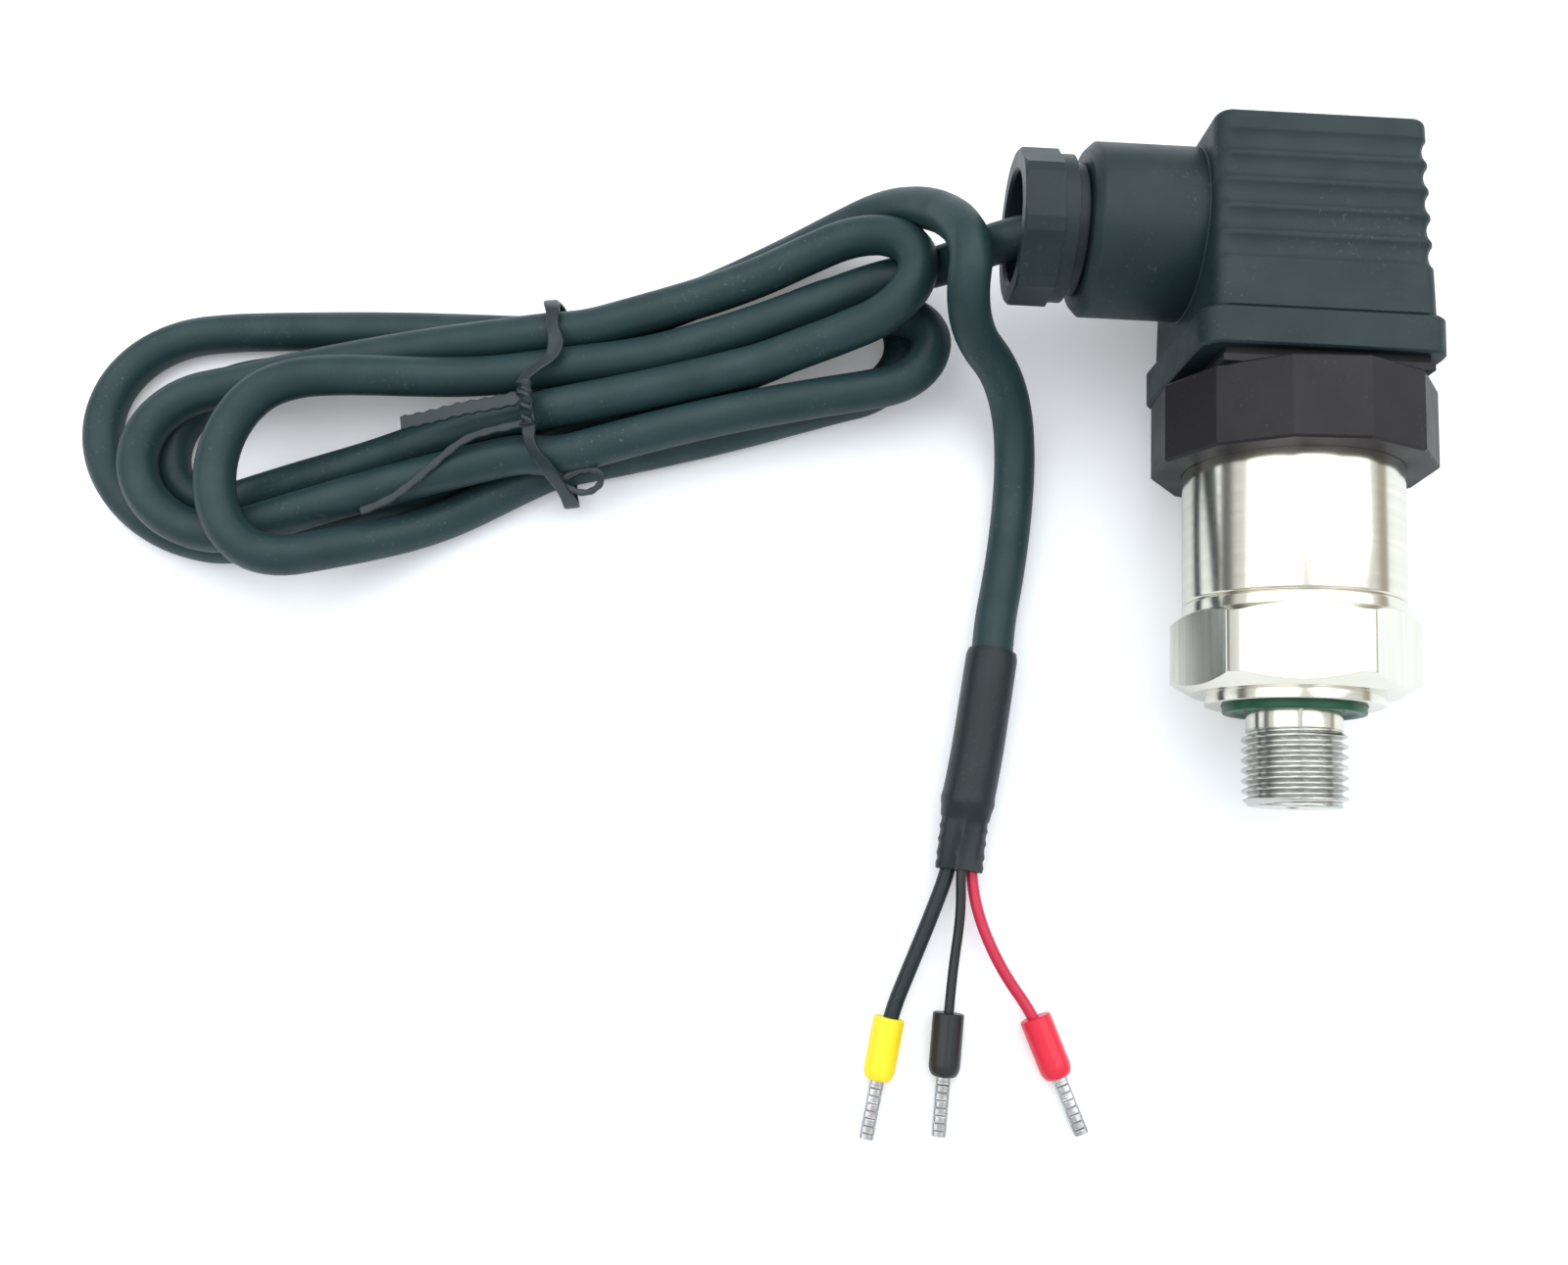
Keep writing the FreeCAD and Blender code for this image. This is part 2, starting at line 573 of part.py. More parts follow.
def plug_housing():
    """Moulded plug cover: flange, drafted ribbed body, cable barrel, screw boss and cavity."""
    body = new_body("plug_housing")
    walls = new_sketch(body, "walls", level=D.flange_top)
    rounded_rectangle(walls, -D.body_left, D.body_right, -D.body_half, D.body_half, D.body_round)
    block = pad(body, walls, D.body_top - D.flange_top)
    block.setExpression("TaperAngle", (-D.body_draft).text)
    dress(body, "Fillet", "top_rim", block, D.top_round, lies_at(float(D.body_top)))
    for name, role, side in (("right_ribs", "XZ_Plane", D.body_right),
                             ("front_ribs", "YZ_Plane", -D.body_half),
                             ("back_ribs", "YZ_Plane", D.body_half)):
        ribs = new_sketch(body, name, role)
        rib_scallops(ribs, side, -1.0 if float(side) > 0 else 1.0)
        cut = body.newObject("PartDesign::Pocket", f"plug_housing_{name}_cut")
        cut.Profile = ribs
        cut.Midplane = True
        cut.setExpression("Length", (D.body_half * 4.0).text)
    flange = new_sketch(body, "flange", level=D.gasket_top)
    rounded_rectangle(flange, -D.flange_left, D.flange_right, -D.flange_half, D.flange_half,
                      D.flange_round)
    pad(body, flange, D.flange_top - D.gasket_top)
    barrel = new_sketch(body, "barrel", "YZ_Plane", -D.barrel_root)
    circle(barrel, D.barrel_radius, (ZERO, D.barrel_level))
    sleeve = pad(body, barrel, D.barrel_reach - D.barrel_root, backwards=True)
    dress(body, "Chamfer", "barrel_rim", sleeve, D.barrel_edge, reaches(-float(D.barrel_reach)))
    cavity = new_sketch(body, "cavity", level=D.gasket_top)
    rectangle(cavity, -D.cavity_half, D.cavity_half, -D.cavity_half, D.cavity_half)
    pocket(body, cavity, D.cavity_top - D.gasket_top)
    boss = new_sketch(body, "boss", level=D.boss_foot)
    circle(boss, D.boss_radius)
    pad(body, boss, D.body_top - D.boss_foot)
    recess = new_sketch(body, "recess", level=D.body_top)
    circle(recess, D.recess_radius)
    pocket(body, recess, D.body_top - D.recess_floor, upwards=False)
    hole = new_sketch(body, "screw_hole", level=D.body_top)
    circle(hole, D.screw_hole)
    pocket(body, hole, D.body_top - D.boss_foot, upwards=False)
    for name, radius, start, end in (("way", D.barrel_way, D.cavity_half - 1.0, D.barrel_seat),
                                     ("bore", D.barrel_bore, D.barrel_seat, D.barrel_reach)):
        bore = new_sketch(body, name, "YZ_Plane", -end)
        circle(bore, radius, (ZERO, D.barrel_level))
        pocket(body, bore, end - start)
    body.Placement = TURNED_WITH_PLUG


def contact_insert():
    """Moulded insert that seats on the gasket side and holds the four terminals."""
    body = new_body("contact_insert")
    block = new_sketch(body, "block", level=D.insert_foot)
    rectangle(block, -D.insert_half, D.insert_half, -D.insert_half, D.insert_half)
    circle(block, D.screw_hole)
    pad(body, block, D.insert_top - D.insert_foot)
    chambers = new_sketch(body, "chambers", level=D.insert_top)
    inner, outer, half = D.chamber_inner, D.chamber_outer, D.chamber_half
    rectangle(chambers, inner, outer, -half, half)
    rectangle(chambers, -outer, -inner, -half, half)
    rectangle(chambers, -half, half, inner, outer)
    rectangle(chambers, -half, half, -outer, -inner)
    pocket(body, chambers, D.insert_top - D.chamber_floor, upwards=False)
    slits = new_sketch(body, "slits", level=D.chamber_floor)
    blade_slots(slits, D.slit_thick, D.slit_half)
    pocket(body, slits, D.chamber_floor - D.insert_foot, upwards=False)
    body.Placement = TURNED_WITH_PLUG


def terminals():
    """Clamping blocks over the blades, one in each chamber."""
    for index, (_, angle) in enumerate(blade_places(), start=1):
        body = new_body(f"terminal_{index}")
        block = new_sketch(body, "block", level=D.chamber_floor)
        half = D.terminal_half
        rectangle(block, D.terminal_inner, D.terminal_outer, -half, half)
        pad(body, block, D.terminal_top - D.chamber_floor)
        slit = new_sketch(body, "slit", level=D.chamber_floor)
        near = D.blade_offset - D.slit_thick / 2.0
        rectangle(slit, near, near + D.slit_thick, -D.slit_half, D.slit_half)
        pocket(body, slit, D.slit_top - D.chamber_floor)
        hole = new_sketch(body, "screw_hole", level=D.terminal_top)
        circle(hole, D.set_screw_radius, (D.set_screw_offset, ZERO))
        pocket(body, hole, D.terminal_top - D.set_screw_foot, upwards=False)
        body.Placement = TURNED_WITH_PLUG.multiply(
            Placement(Vector(), Rotation(Vector(0, 0, 1), angle)))


def terminal_screws():
    """Four slotted set screws, one in each terminal, kept as one group of solids."""
    radius, length = float(D.set_screw_radius), float(D.set_screw_top - D.set_screw_foot)
    slot = Part.makeBox(2 * radius, float(D.screw_slot), float(D.slot_depth),
                        Vector(-radius, -float(D.screw_slot) / 2, length - float(D.slot_depth)))
    screw = Part.makeCylinder(radius, length).cut(slot)
    screws = []
    for _, angle in blade_places():
        one = screw.copy()
        one.translate(Vector(float(D.set_screw_offset), 0, float(D.set_screw_foot)))
        one.rotate(Vector(), Vector(0, 0, 1), angle)
        screws.append(one)
    new_feature("terminal_screws", Part.makeCompound(screws)).Placement = TURNED_WITH_PLUG


def fixing_screw():
    """Long slotted screw that holds the plug to the base."""
    body = new_body("fixing_screw")
    turned = revolve(body, "screw", [
        (ZERO, D.fixing_foot), (D.fixing_radius, D.fixing_foot), (D.fixing_radius, D.head_foot),
        (D.head_radius, D.head_foot), (D.head_radius, D.head_top), (ZERO, D.head_top)])
    dress(body, "Chamfer", "head_rim", turned, D.gland_edge, lies_at(float(D.head_top)))
    slot = new_sketch(body, "slot", level=D.head_top)
    rectangle(slot, -D.head_radius * 1.2, D.head_radius * 1.2, -D.screw_slot, D.screw_slot)
    pocket(body, slot, D.screw_slot * 2.0, upwards=False)
    body.Placement = TURNED_WITH_PLUG


def screw_seal():
    """Rubber washer under the screw's head."""
    body = new_body("screw_seal")
    revolve(body, "washer", [
        (D.washer_inner, D.recess_floor), (D.washer_outer, D.recess_floor),
        (D.washer_outer, D.head_foot), (D.washer_inner, D.head_foot)])
    body.Placement = UPRIGHT_TO_TABLE


# ---------------------------------------------------------------- cable gland

def gland_seal():
    """Rubber bush squeezed on the cable, against the barrel's shoulder."""
    body = new_body("gland_seal")
    revolve(body, "bush", [
        (D.cable_radius, D.barrel_seat), (D.gland_seal_radius, D.barrel_seat),
        (D.gland_seal_radius, D.gland_seal_end), (D.cable_radius, D.gland_seal_end)])
    body.Placement = GLAND_AXIS


def gland_washer():
    """Pressure washer between the gland nut and the seal."""
    body = new_body("gland_washer")
    revolve(body, "washer", [
        (D.gland_washer_bore, D.gland_seal_end), (D.gland_washer_radius, D.gland_seal_end),
        (D.gland_washer_radius, D.washer_end), (D.gland_washer_bore, D.washer_end)])
    body.Placement = GLAND_AXIS


def gland_nut():
    """Gland nut: thread, collar, band and a grip of eight wide and eight narrow flats."""
    body = new_body("gland_nut")
    revolve(body, "turned", [
        (D.gland_throat, D.washer_end), (D.gland_thread_radius, D.washer_end),
        (D.gland_thread_radius, D.gland_collar_start),
        (D.gland_collar_radius, D.gland_collar_start),
        (D.gland_collar_radius, D.gland_band_start),
        (D.gland_band_radius, D.gland_band_start), (D.gland_band_radius, D.gland_grip_start),
        (D.gland_vertex, D.gland_grip_start), (D.gland_vertex, D.gland_end - D.gland_edge),
        (D.gland_vertex - D.gland_edge, D.gland_end), (D.gland_mouth + D.gland_edge, D.gland_end),
        (D.gland_mouth, D.gland_end - D.gland_edge), (D.gland_mouth, D.gland_throat_end),
        (D.gland_throat, D.gland_throat_end - 1.4)])
    for name, flat, first in (("wide", D.gland_flat, 22.5), ("narrow", D.gland_bevel, 0.0)):
        flats = new_sketch(body, name, level=D.gland_grip_start)
        circle(flats, D.gland_vertex * 1.4)
        polygon(flats, 8, flat / math.cos(math.pi / 8.0), first)
        pocket(body, flats, D.gland_end - D.gland_grip_start)
    body.Placement = GLAND_AXIS.multiply(
        Placement(Vector(), Rotation(Vector(0, 0, 1), float(D.gland_turn))))


# ---------------------------------------------------------------- cable and wires

def rounded_edges(points, name, closed=False):
    """Joins straight runs with tangent arcs, each as large as its two shorter runs allow."""
    count = len(points)
    corners = range(count) if closed else range(1, count - 1)
    arcs = {}
    radii = []
    for index in corners:
        before, here, after = points[index - 1], points[index], points[(index + 1) % count]
        back, ahead = before - here, after - here
        tangent = 0.45 * min(back.Length, ahead.Length)
        back.normalize()
        ahead.normalize()
        half_turn = (math.pi - back.getAngle(ahead)) / 2.0
        radius = tangent / math.tan(half_turn)
        radii.append(round(radius, 1))
        middle = back + ahead
        middle.normalize()
        centre = here + middle * (radius / math.cos(half_turn))
        arcs[index] = (here + back * tangent, centre - middle * radius, here + ahead * tangent)
    edges = []
    last = arcs[count - 1][2] if closed else points[0]
    for index in corners:
        start, through, end = arcs[index]
        edges.append(Part.LineSegment(last, start).toShape())
        edges.append(Part.Arc(start, through, end).toShape())
        last = end
    if not closed:
        edges.append(Part.LineSegment(last, points[-1]).toShape())
    print(f"{name}: radii {radii}")
    return edges


def tube_along(name, route, radius):
    """Sweeps a round section along a route and compares its volume with section x length."""
    points = [Vector(*place) for place in route]
    spine = Part.Wire(rounded_edges(points, name))
    section = Part.Wire(Part.Circle(points[0], points[1] - points[0], float(radius)).toShape())
    solid = spine.makePipeShell([section], True, False)
    expected = math.pi * float(radius) ** 2 * spine.Length
    print(f"{name}: length {spine.Length:.1f}, volume {solid.Volume:.1f} of {expected:.1f}")
    if abs(solid.Volume - expected) > 0.01 * expected:
        raise RuntimeError(f"{name}: the tube's volume is off")
    new_feature(name, solid).Placement = TABLE


GLAND_RUN = [(-17.0, 64.1, 21.7), (-22.0, 64.05, 22.1), (-28.0, 64.0, 22.5), (-34.5, 63.6, 22.0),
             (-41.0, 62.9, 19.6), (-45.2, 62.8, 14.2), (-50.8, 62.6, 10.2), (-58.5, 61.0, 8.7)]
LEAD_RUN = [(-62.5, 72.2, 5.4), (-55.6, 73.4, 10.2), (-50.2, 70.9, 16.2), (-45.4, 65.5, 22.4),
            (-43.1, 58.6, 27.0), (-42.6, 53.0, 23.4), (-40.6, 50.0, 15.8), (-38.2, 46.6, 8.4),
            (-36.3, 40.0, 3.9), (-36.0, 30.0, 2.95), (-36.6, 20.0, 2.95), (-37.8, 13.2, 3.1),
            (-38.2, 7.4, 3.5)]
HANK_OUTLINE = [(-175.0, 40.0), (-168.0, 52.5), (-153.0, 58.0), (-133.0, 59.0), (-112.0, 58.3),
                (-92.0, 61.8), (-76.0, 70.5), (-63.0, 78.4), (-54.0, 77.5), (-47.2, 66.0),
                (-45.2, 54.5), (-58.0, 43.2), (-78.0, 36.8), (-98.0, 33.4), (-114.0, 26.4),
                (-129.0, 17.6), (-145.0, 17.2), (-161.0, 20.2), (-171.5, 28.6)]
SLEEVE_ROUTE = [(-38.2, 7.4, 3.6), (-39.2, 0.2, 3.65), (-40.2, -7.2, 3.6), (-41.6, -14.6, 3.65),
                (-42.2, -22.0, 3.6)]


def cable_hank():
    """The tied hank as one closed solid of its outer shape."""
    points = [Vector(across, along, 0) for across, along in HANK_OUTLINE]
    face = Part.Face(Part.Wire(rounded_edges(points, "cable_hank", closed=True)))
    solid = face.extrude(Vector(0, 0, float(D.hank_high)))
    top = [edge for edge in solid.Edges if lies_at(float(D.hank_high))(edge)]
    new_feature("cable_hank", solid.makeFillet(float(D.hank_edge), top)).Placement = TABLE


def twist_tie():
    """Strap of the wire tie, laid over the hank's waist."""
    strap = Part.makeBox(float(D.tie_width), float(D.tie_far - D.tie_near), float(D.tie_thick),
                         Vector(float(D.tie_across), float(D.tie_near), float(D.hank_high)))
    new_feature("twist_tie", strap).Placement = TABLE


def ferrule(name, start, tip):
    """Crimped end sleeve: a flared plastic collar and its metal tube, on one line."""
    start = Vector(*start)
    along = Vector(*tip) - start
    along.normalize()
    collar = Part.makeCone(float(D.collar_large), float(D.collar_small),
                           float(D.collar_length), start, along)
    tube = Part.makeCylinder(float(D.crimp_radius), float(D.crimp_length),
                             start + along * float(D.collar_length), along)
    new_feature(f"{name}_collar", collar).Placement = TABLE
    new_feature(f"{name}_crimp", tube).Placement = TABLE


YELLOW_ROUTE = [(-43.6, -22.0, 3.4), (-45.7, -28.0, 3.0), (-48.3, -34.8, 2.6), (-51.0, -41.8, 2.4)]
BLACK_ROUTE = [(-42.0, -22.0, 4.6), (-41.8, -28.0, 3.6), (-42.6, -34.5, 2.7), (-43.1, -40.8, 2.4)]
RED_ROUTE = [(-40.6, -22.0, 3.2), (-39.5, -28.0, 2.9), (-36.2, -35.0, 2.6), (-31.7, -40.8, 2.4)]
YELLOW_TIP = (-53.6, -57.8, 1.2)
BLACK_TIP = (-44.0, -56.0, 1.2)
RED_TIP = (-25.4, -55.3, 1.2)


# ---------------------------------------------------------------- building and writing

def build():
    """Builds every sub-part in the order of assembly."""
    process_fitting()
    seal_ring()
    housing_tube()
    sensor_cell()
    ring_seal("cell_ring", D.cell_ring_radius, D.cell_ring_cord,
              D.ring_groove_floor + D.cell_ring_cord)
    cell_retainer()
    amplifier_board()
    board_components()
    cell_flex()
    connector_base()
    ring_seal("base_ring", D.ring_seat_radius + D.ring_cord, D.ring_cord,
              D.ring_seat_low + D.ring_cord)
    base_nut()
    contact_blades()
    flat_gasket()
    plug_housing()
    contact_insert()
    terminals()
    terminal_screws()
    fixing_screw()
    screw_seal()
    gland_seal()
    gland_washer()
    gland_nut()
    tube_along("cable_gland_run", GLAND_RUN, D.cable_radius)
    cable_hank()
    twist_tie()
    tube_along("cable_lead", LEAD_RUN, D.cable_radius)
    tube_along("lead_sleeve", SLEEVE_ROUTE, D.sleeve_radius)
    tube_along("wire_shrunk", YELLOW_ROUTE, D.shrunk_wire_radius)
    tube_along("wire_black", BLACK_ROUTE, D.black_wire_radius)
    tube_along("wire_red", RED_ROUTE, D.red_wire_radius)
    ferrule("ferrule_yellow", YELLOW_ROUTE[-1], YELLOW_TIP)
    ferrule("ferrule_black", BLACK_ROUTE[-1], BLACK_TIP)
    ferrule("ferrule_red", RED_ROUTE[-1], RED_TIP)


def check():
    """Stops when an object failed, or a sub-part's shape is missing or broken."""
    for item in DOC.Objects:
        if {"Invalid", "Error"} & set(item.State):
            raise RuntimeError(f"{item.Label} failed: {item.State}")
    for node in NODES:
        if node.Shape.isNull() or not node.Shape.isValid():
            raise RuntimeError(f"{node.Label} has no valid shape")


def write():
    """Writes each sub-part to its own STEP file."""
    os.makedirs("parts", exist_ok=True)
    for node in NODES:
        node.Shape.exportStep(f"parts/{node.Label}.step")
        box = node.Shape.BoundBox
        print(f"{node.Label}: {node.Shape.Volume:.1f} mm3, "
              f"x {box.XMin:.2f} {box.XMax:.2f} y {box.YMin:.2f} {box.YMax:.2f} "
              f"z {box.ZMin:.2f} {box.ZMax:.2f}")


build()
DOC.recompute()
check()
write()
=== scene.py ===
"""Dresses a pressure transmitter: steel fitting and housing, moulded base and plug, tied cable, wires."""

import logging
import math
from dataclasses import dataclass
from enum import Enum
from typing import Sequence

import bmesh
import bpy
import numpy as np
from mathutils import Matrix, Vector


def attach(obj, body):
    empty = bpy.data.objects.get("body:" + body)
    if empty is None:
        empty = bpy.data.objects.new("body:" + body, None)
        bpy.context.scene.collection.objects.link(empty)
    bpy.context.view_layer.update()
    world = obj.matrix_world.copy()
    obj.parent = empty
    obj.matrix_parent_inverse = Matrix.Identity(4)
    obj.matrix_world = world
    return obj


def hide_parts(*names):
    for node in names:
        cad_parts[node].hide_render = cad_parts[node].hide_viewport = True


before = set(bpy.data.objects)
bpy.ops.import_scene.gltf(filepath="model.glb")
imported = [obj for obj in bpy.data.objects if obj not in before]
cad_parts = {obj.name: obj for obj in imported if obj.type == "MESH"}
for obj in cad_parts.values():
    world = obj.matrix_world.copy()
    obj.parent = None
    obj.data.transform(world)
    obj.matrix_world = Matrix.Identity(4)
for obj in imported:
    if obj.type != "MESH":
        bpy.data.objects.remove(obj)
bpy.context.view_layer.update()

LOG = logging.getLogger("transmitter")
MM = 0.001
MERGE = 1e-7
SHARP = math.radians(28.0)
TABLE_GAP = 0.02
TRANSMITTER = "transmitter"
Array = np.ndarray
Triple = tuple[float, float, float]


class Pattern(Enum):
    """The relief that a finish carries."""

    MOULDED = "moulded"
    TURNED = "turned"
    MILLED = "milled"


# ------------------------------------------------------------------ where the instrument lies

@dataclass(frozen=True)
class Lie:
    """How the upright instrument (mm, heights from the thread's tip) lies on the table."""

    across: float = 10.56
    along: float = -31.63
    height: float = 14.821
    face_level: float = 13.0
    tilt: float = math.radians(-90.0 + 4.877)

    def place(self, points: Array) -> Array:
        """Lays upright points on the table.

        Args:
            points: Coordinates of shape (..., 3) in mm.

        Returns:
            The same points in metres: each is dropped by the face level, turned about X by the
            tilt, and moved to the sealing face's place.
        """
        c, s = math.cos(self.tilt), math.sin(self.tilt)
        x, y, z = points[..., 0], points[..., 1], points[..., 2] - self.face_level
        laid = np.stack([x, c * y - s * z, s * y + c * z], axis=-1)
        return (laid + np.array([self.across, self.along, self.height])) * MM

    def origin(self) -> Array:
        """The thread tip's centre on the table, in metres."""
        return self.place(np.zeros(3))


LIE = Lie()


# ------------------------------------------------------------------ meshes from arrays

def mesh_piece(name: str, points: Array, wrap_rows: bool = False,
               wrap_columns: bool = True) -> bpy.types.Object:
    """Joins a grid of points into a smooth mesh: each point is tied to its neighbour in the next
    row and the next column.

    Args:
        name: The piece's name.
        points: Grid of shape (rows, columns, 3) in metres.
        wrap_rows: Whether the last row meets the first.
        wrap_columns: Whether the last column meets the first.

    Returns:
        The linked object, its faces outward, its poles merged and its sharp folds marked.
    """
    rows, columns = points.shape[:2]
    index = np.arange(rows * columns).reshape(rows, columns)
    if wrap_rows:
        index = np.vstack([index, index[:1]])
    if wrap_columns:
        index = np.hstack([index, index[:, :1]])
    quads = np.stack([index[:-1, :-1], index[:-1, 1:], index[1:, 1:], index[1:, :-1]], axis=-1)
    mesh = bpy.data.meshes.new(name)
    mesh.from_pydata(points.reshape(-1, 3), [], quads.reshape(-1, 4))
    work = bmesh.new()
    work.from_mesh(mesh)
    bmesh.ops.remove_doubles(work, verts=work.verts, dist=MERGE)
    bmesh.ops.dissolve_degenerate(work, edges=work.edges, dist=MERGE)
    bmesh.ops.recalc_face_normals(work, faces=work.faces)
    work.to_mesh(mesh)
    work.free()
    mesh.shade_smooth()
    mesh.set_sharp_from_angle(angle=SHARP)
    piece = bpy.data.objects.new(name, mesh)
    bpy.context.scene.collection.objects.link(piece)
    return piece


def rounded(corners: Array, radius: float, steps: int = 4, closed: bool = True) -> Array:
    """Rounds a profile's corners: each becomes a parabola between the points one radius before and
    after it, or 0.45 of the shorter side where that is less.

    Args:
        corners: Profile points of shape (n, 2).
        radius: Distance from the corner to each end of its curve, in mm.
        steps: Points on each curve.
        closed: Whether the profile is a loop; an open one keeps its two end points.

    Returns:
        The rounded profile, of shape (m, 2).
    """
    before, after = np.roll(corners, 1, axis=0), np.roll(corners, -1, axis=0)
    back, ahead = before - corners, after - corners
    back_length = np.linalg.norm(back, axis=1, keepdims=True)
    ahead_length = np.linalg.norm(ahead, axis=1, keepdims=True)
    reach = np.minimum(radius, 0.45 * np.minimum(back_length, ahead_length))
    start, end = corners + back / back_length * reach, corners + ahead / ahead_length * reach
    s = np.linspace(0.0, 1.0, steps)[None, :, None]
    curve = (1 - s) ** 2 * start[:, None] + 2 * s * (1 - s) * corners[:, None] + s ** 2 * end[:, None]
    if closed:
        return curve.reshape(-1, 2)
    return np.vstack([corners[:1], curve[1:-1].reshape(-1, 2), corners[-1:]])


def turned(profile: Array, columns: int = 180) -> Array:
    """Carries a profile of (radius, height) once round the axis: x = r cos a, y = r sin a, z = h.

    Args:
        profile: Points of shape (n, 2) in mm.
        columns: Steps round the axis.

    Returns:
        Upright grid of shape (n, columns, 3) in mm.
    """
    angle = np.linspace(0.0, 2 * math.pi, columns, endpoint=False)
    radius, height = profile[:, :1], profile[:, 1:]
    return np.stack([radius * np.cos(angle), radius * np.sin(angle),
                     height * np.ones_like(angle)], axis=-1)


def along_line(line: Array, up: Triple = (0.0, 0.0, 1.0)) -> tuple[Array, Array, Array, Array]:
    """Measures a line of points.

    Args:
        line: Points of shape (n, 3) in metres.
        up: Direction that the section's second axis keeps to.

    Returns:
        Tangents, sideways directions, second directions, and the share of the length passed (0-1).
    """
    tangent = np.gradient(line, axis=0)
    tangent /= np.linalg.norm(tangent, axis=1, keepdims=True)
    side = np.cross(tangent, np.asarray(up, float))
    side /= np.linalg.norm(side, axis=1, keepdims=True)
    second = np.cross(side, tangent)
    passed = np.concatenate([[0.0], np.cumsum(np.linalg.norm(np.diff(line, axis=0), axis=1))])
    return tangent, side, second, passed / passed[-1]


def smooth(value: Array) -> Array:
    """Smooth step: the value is held between 0 and 1 as v, and becomes v * v * (3 - 2 v)."""
    held = np.clip(value, 0.0, 1.0)
    return held * held * (3.0 - 2.0 * held)


def section(columns: int, power: float) -> tuple[Array, Array]:
    """Cosine and sine round a section, each raised to 2 / power with its sign kept.

    Args:
        columns: Points round the section.
        power: 2 for an oval, more for a rounded rectangle.

    Returns:
        The two shares, each of shape (columns,).
    """
    angle = np.linspace(0.0, 2 * math.pi, columns, endpoint=False)
    cos, sin = np.cos(angle), np.sin(angle)
    return (np.sign(cos) * np.abs(cos) ** (2.0 / power),
            np.sign(sin) * np.abs(sin) ** (2.0 / power))


def capped(line: Array, rings: Array) -> Array:
    """Closes a row of rings with the line's first and last point, each repeated as a row."""
    ends = np.broadcast_to(line[[0, -1], None], (2, rings.shape[1], 3))
    return np.concatenate([ends[:1], rings, ends[1:]])


def swept(line: Array, wide: Array, high: Array, columns: int, power: float = 2.0) -> Array:
    """Carries a section along a line: point = centre + wide * c * side + high * s * second, where
    c and s are the section's two shares.

    Args:
        line: Centres of shape (n, 3) in metres.
        wide: Half width at each centre, of shape (n,) or (n, columns), in mm.
        high: Half height, as wide.
        columns: Points round the section.
        power: 2 for an oval, more for a rounded rectangle.

    Returns:
        Grid of shape (n + 2, columns, 3) whose first and last rows close the ends.
    """
    _, side, second, _ = along_line(line)
    c, s = section(columns, power)
    wide, high = (np.broadcast_to(size.reshape(len(line), -1), (len(line), columns))
                  for size in (wide, high))
    return capped(line, line[:, None] + (wide * c * MM)[..., None] * side[:, None]
                  + (high * s * MM)[..., None] * second[:, None])


def spline_curve(name: str, points: Sequence[Triple], radius: float,
                 resolution: int = 6) -> bpy.types.Object:
    """Makes a smooth spline with the given points as its control points.

    Args:
        name: The piece's name.
        points: Route points in mm.
        radius: Radius of the round section in mm, or 0 for a bare line.
        resolution: Steps between two points.

    Returns:
        The linked curve object.
    """
    curve = bpy.data.curves.new(name, "CURVE")
    curve.dimensions = "3D"
    curve.bevel_depth = radius * MM
    curve.bevel_resolution = 6
    curve.use_fill_caps = True
    curve.resolution_u = resolution
    spline = curve.splines.new("NURBS")
    spline.points.add(len(points) - 1)
    place = np.hstack([np.array(points, float) * MM, np.ones((len(points), 1))])
    spline.points.foreach_set("co", place.ravel())
    spline.order_u = 3
    spline.use_endpoint_u = True
    piece = bpy.data.objects.new(name, curve)
    bpy.context.scene.collection.objects.link(piece)
    return piece


def line_of(points: Sequence[Triple], resolution: int = 12) -> Array:
    """Reads the points of the spline that has the given control points, in metres."""
    bare = spline_curve("bare_line", points, 0.0, resolution)
    mesh = bpy.data.meshes.new_from_object(bare)
    place = np.zeros(len(mesh.vertices) * 3)
    mesh.vertices.foreach_get("co", place)
    curve = bare.data
    bpy.data.objects.remove(bare)
    bpy.data.curves.remove(curve)
    bpy.data.meshes.remove(mesh)
    return place.reshape(-1, 3)


# ------------------------------------------------------------------ colours, effects and finishes

def linear(red: int, green: int, blue: int) -> tuple[float, float, float, float]:
    """Turns a display colour of 0-255 into scene colour: ((v + 0.055) / 1.055) ** 2.4."""
    share = np.array([red, green, blue]) / 255.0
    value = np.where(share <= 0.04045, share / 12.92, ((share + 0.055) / 1.055) ** 2.4)
    return (float(value[0]), float(value[1]), float(value[2]), 1.0)


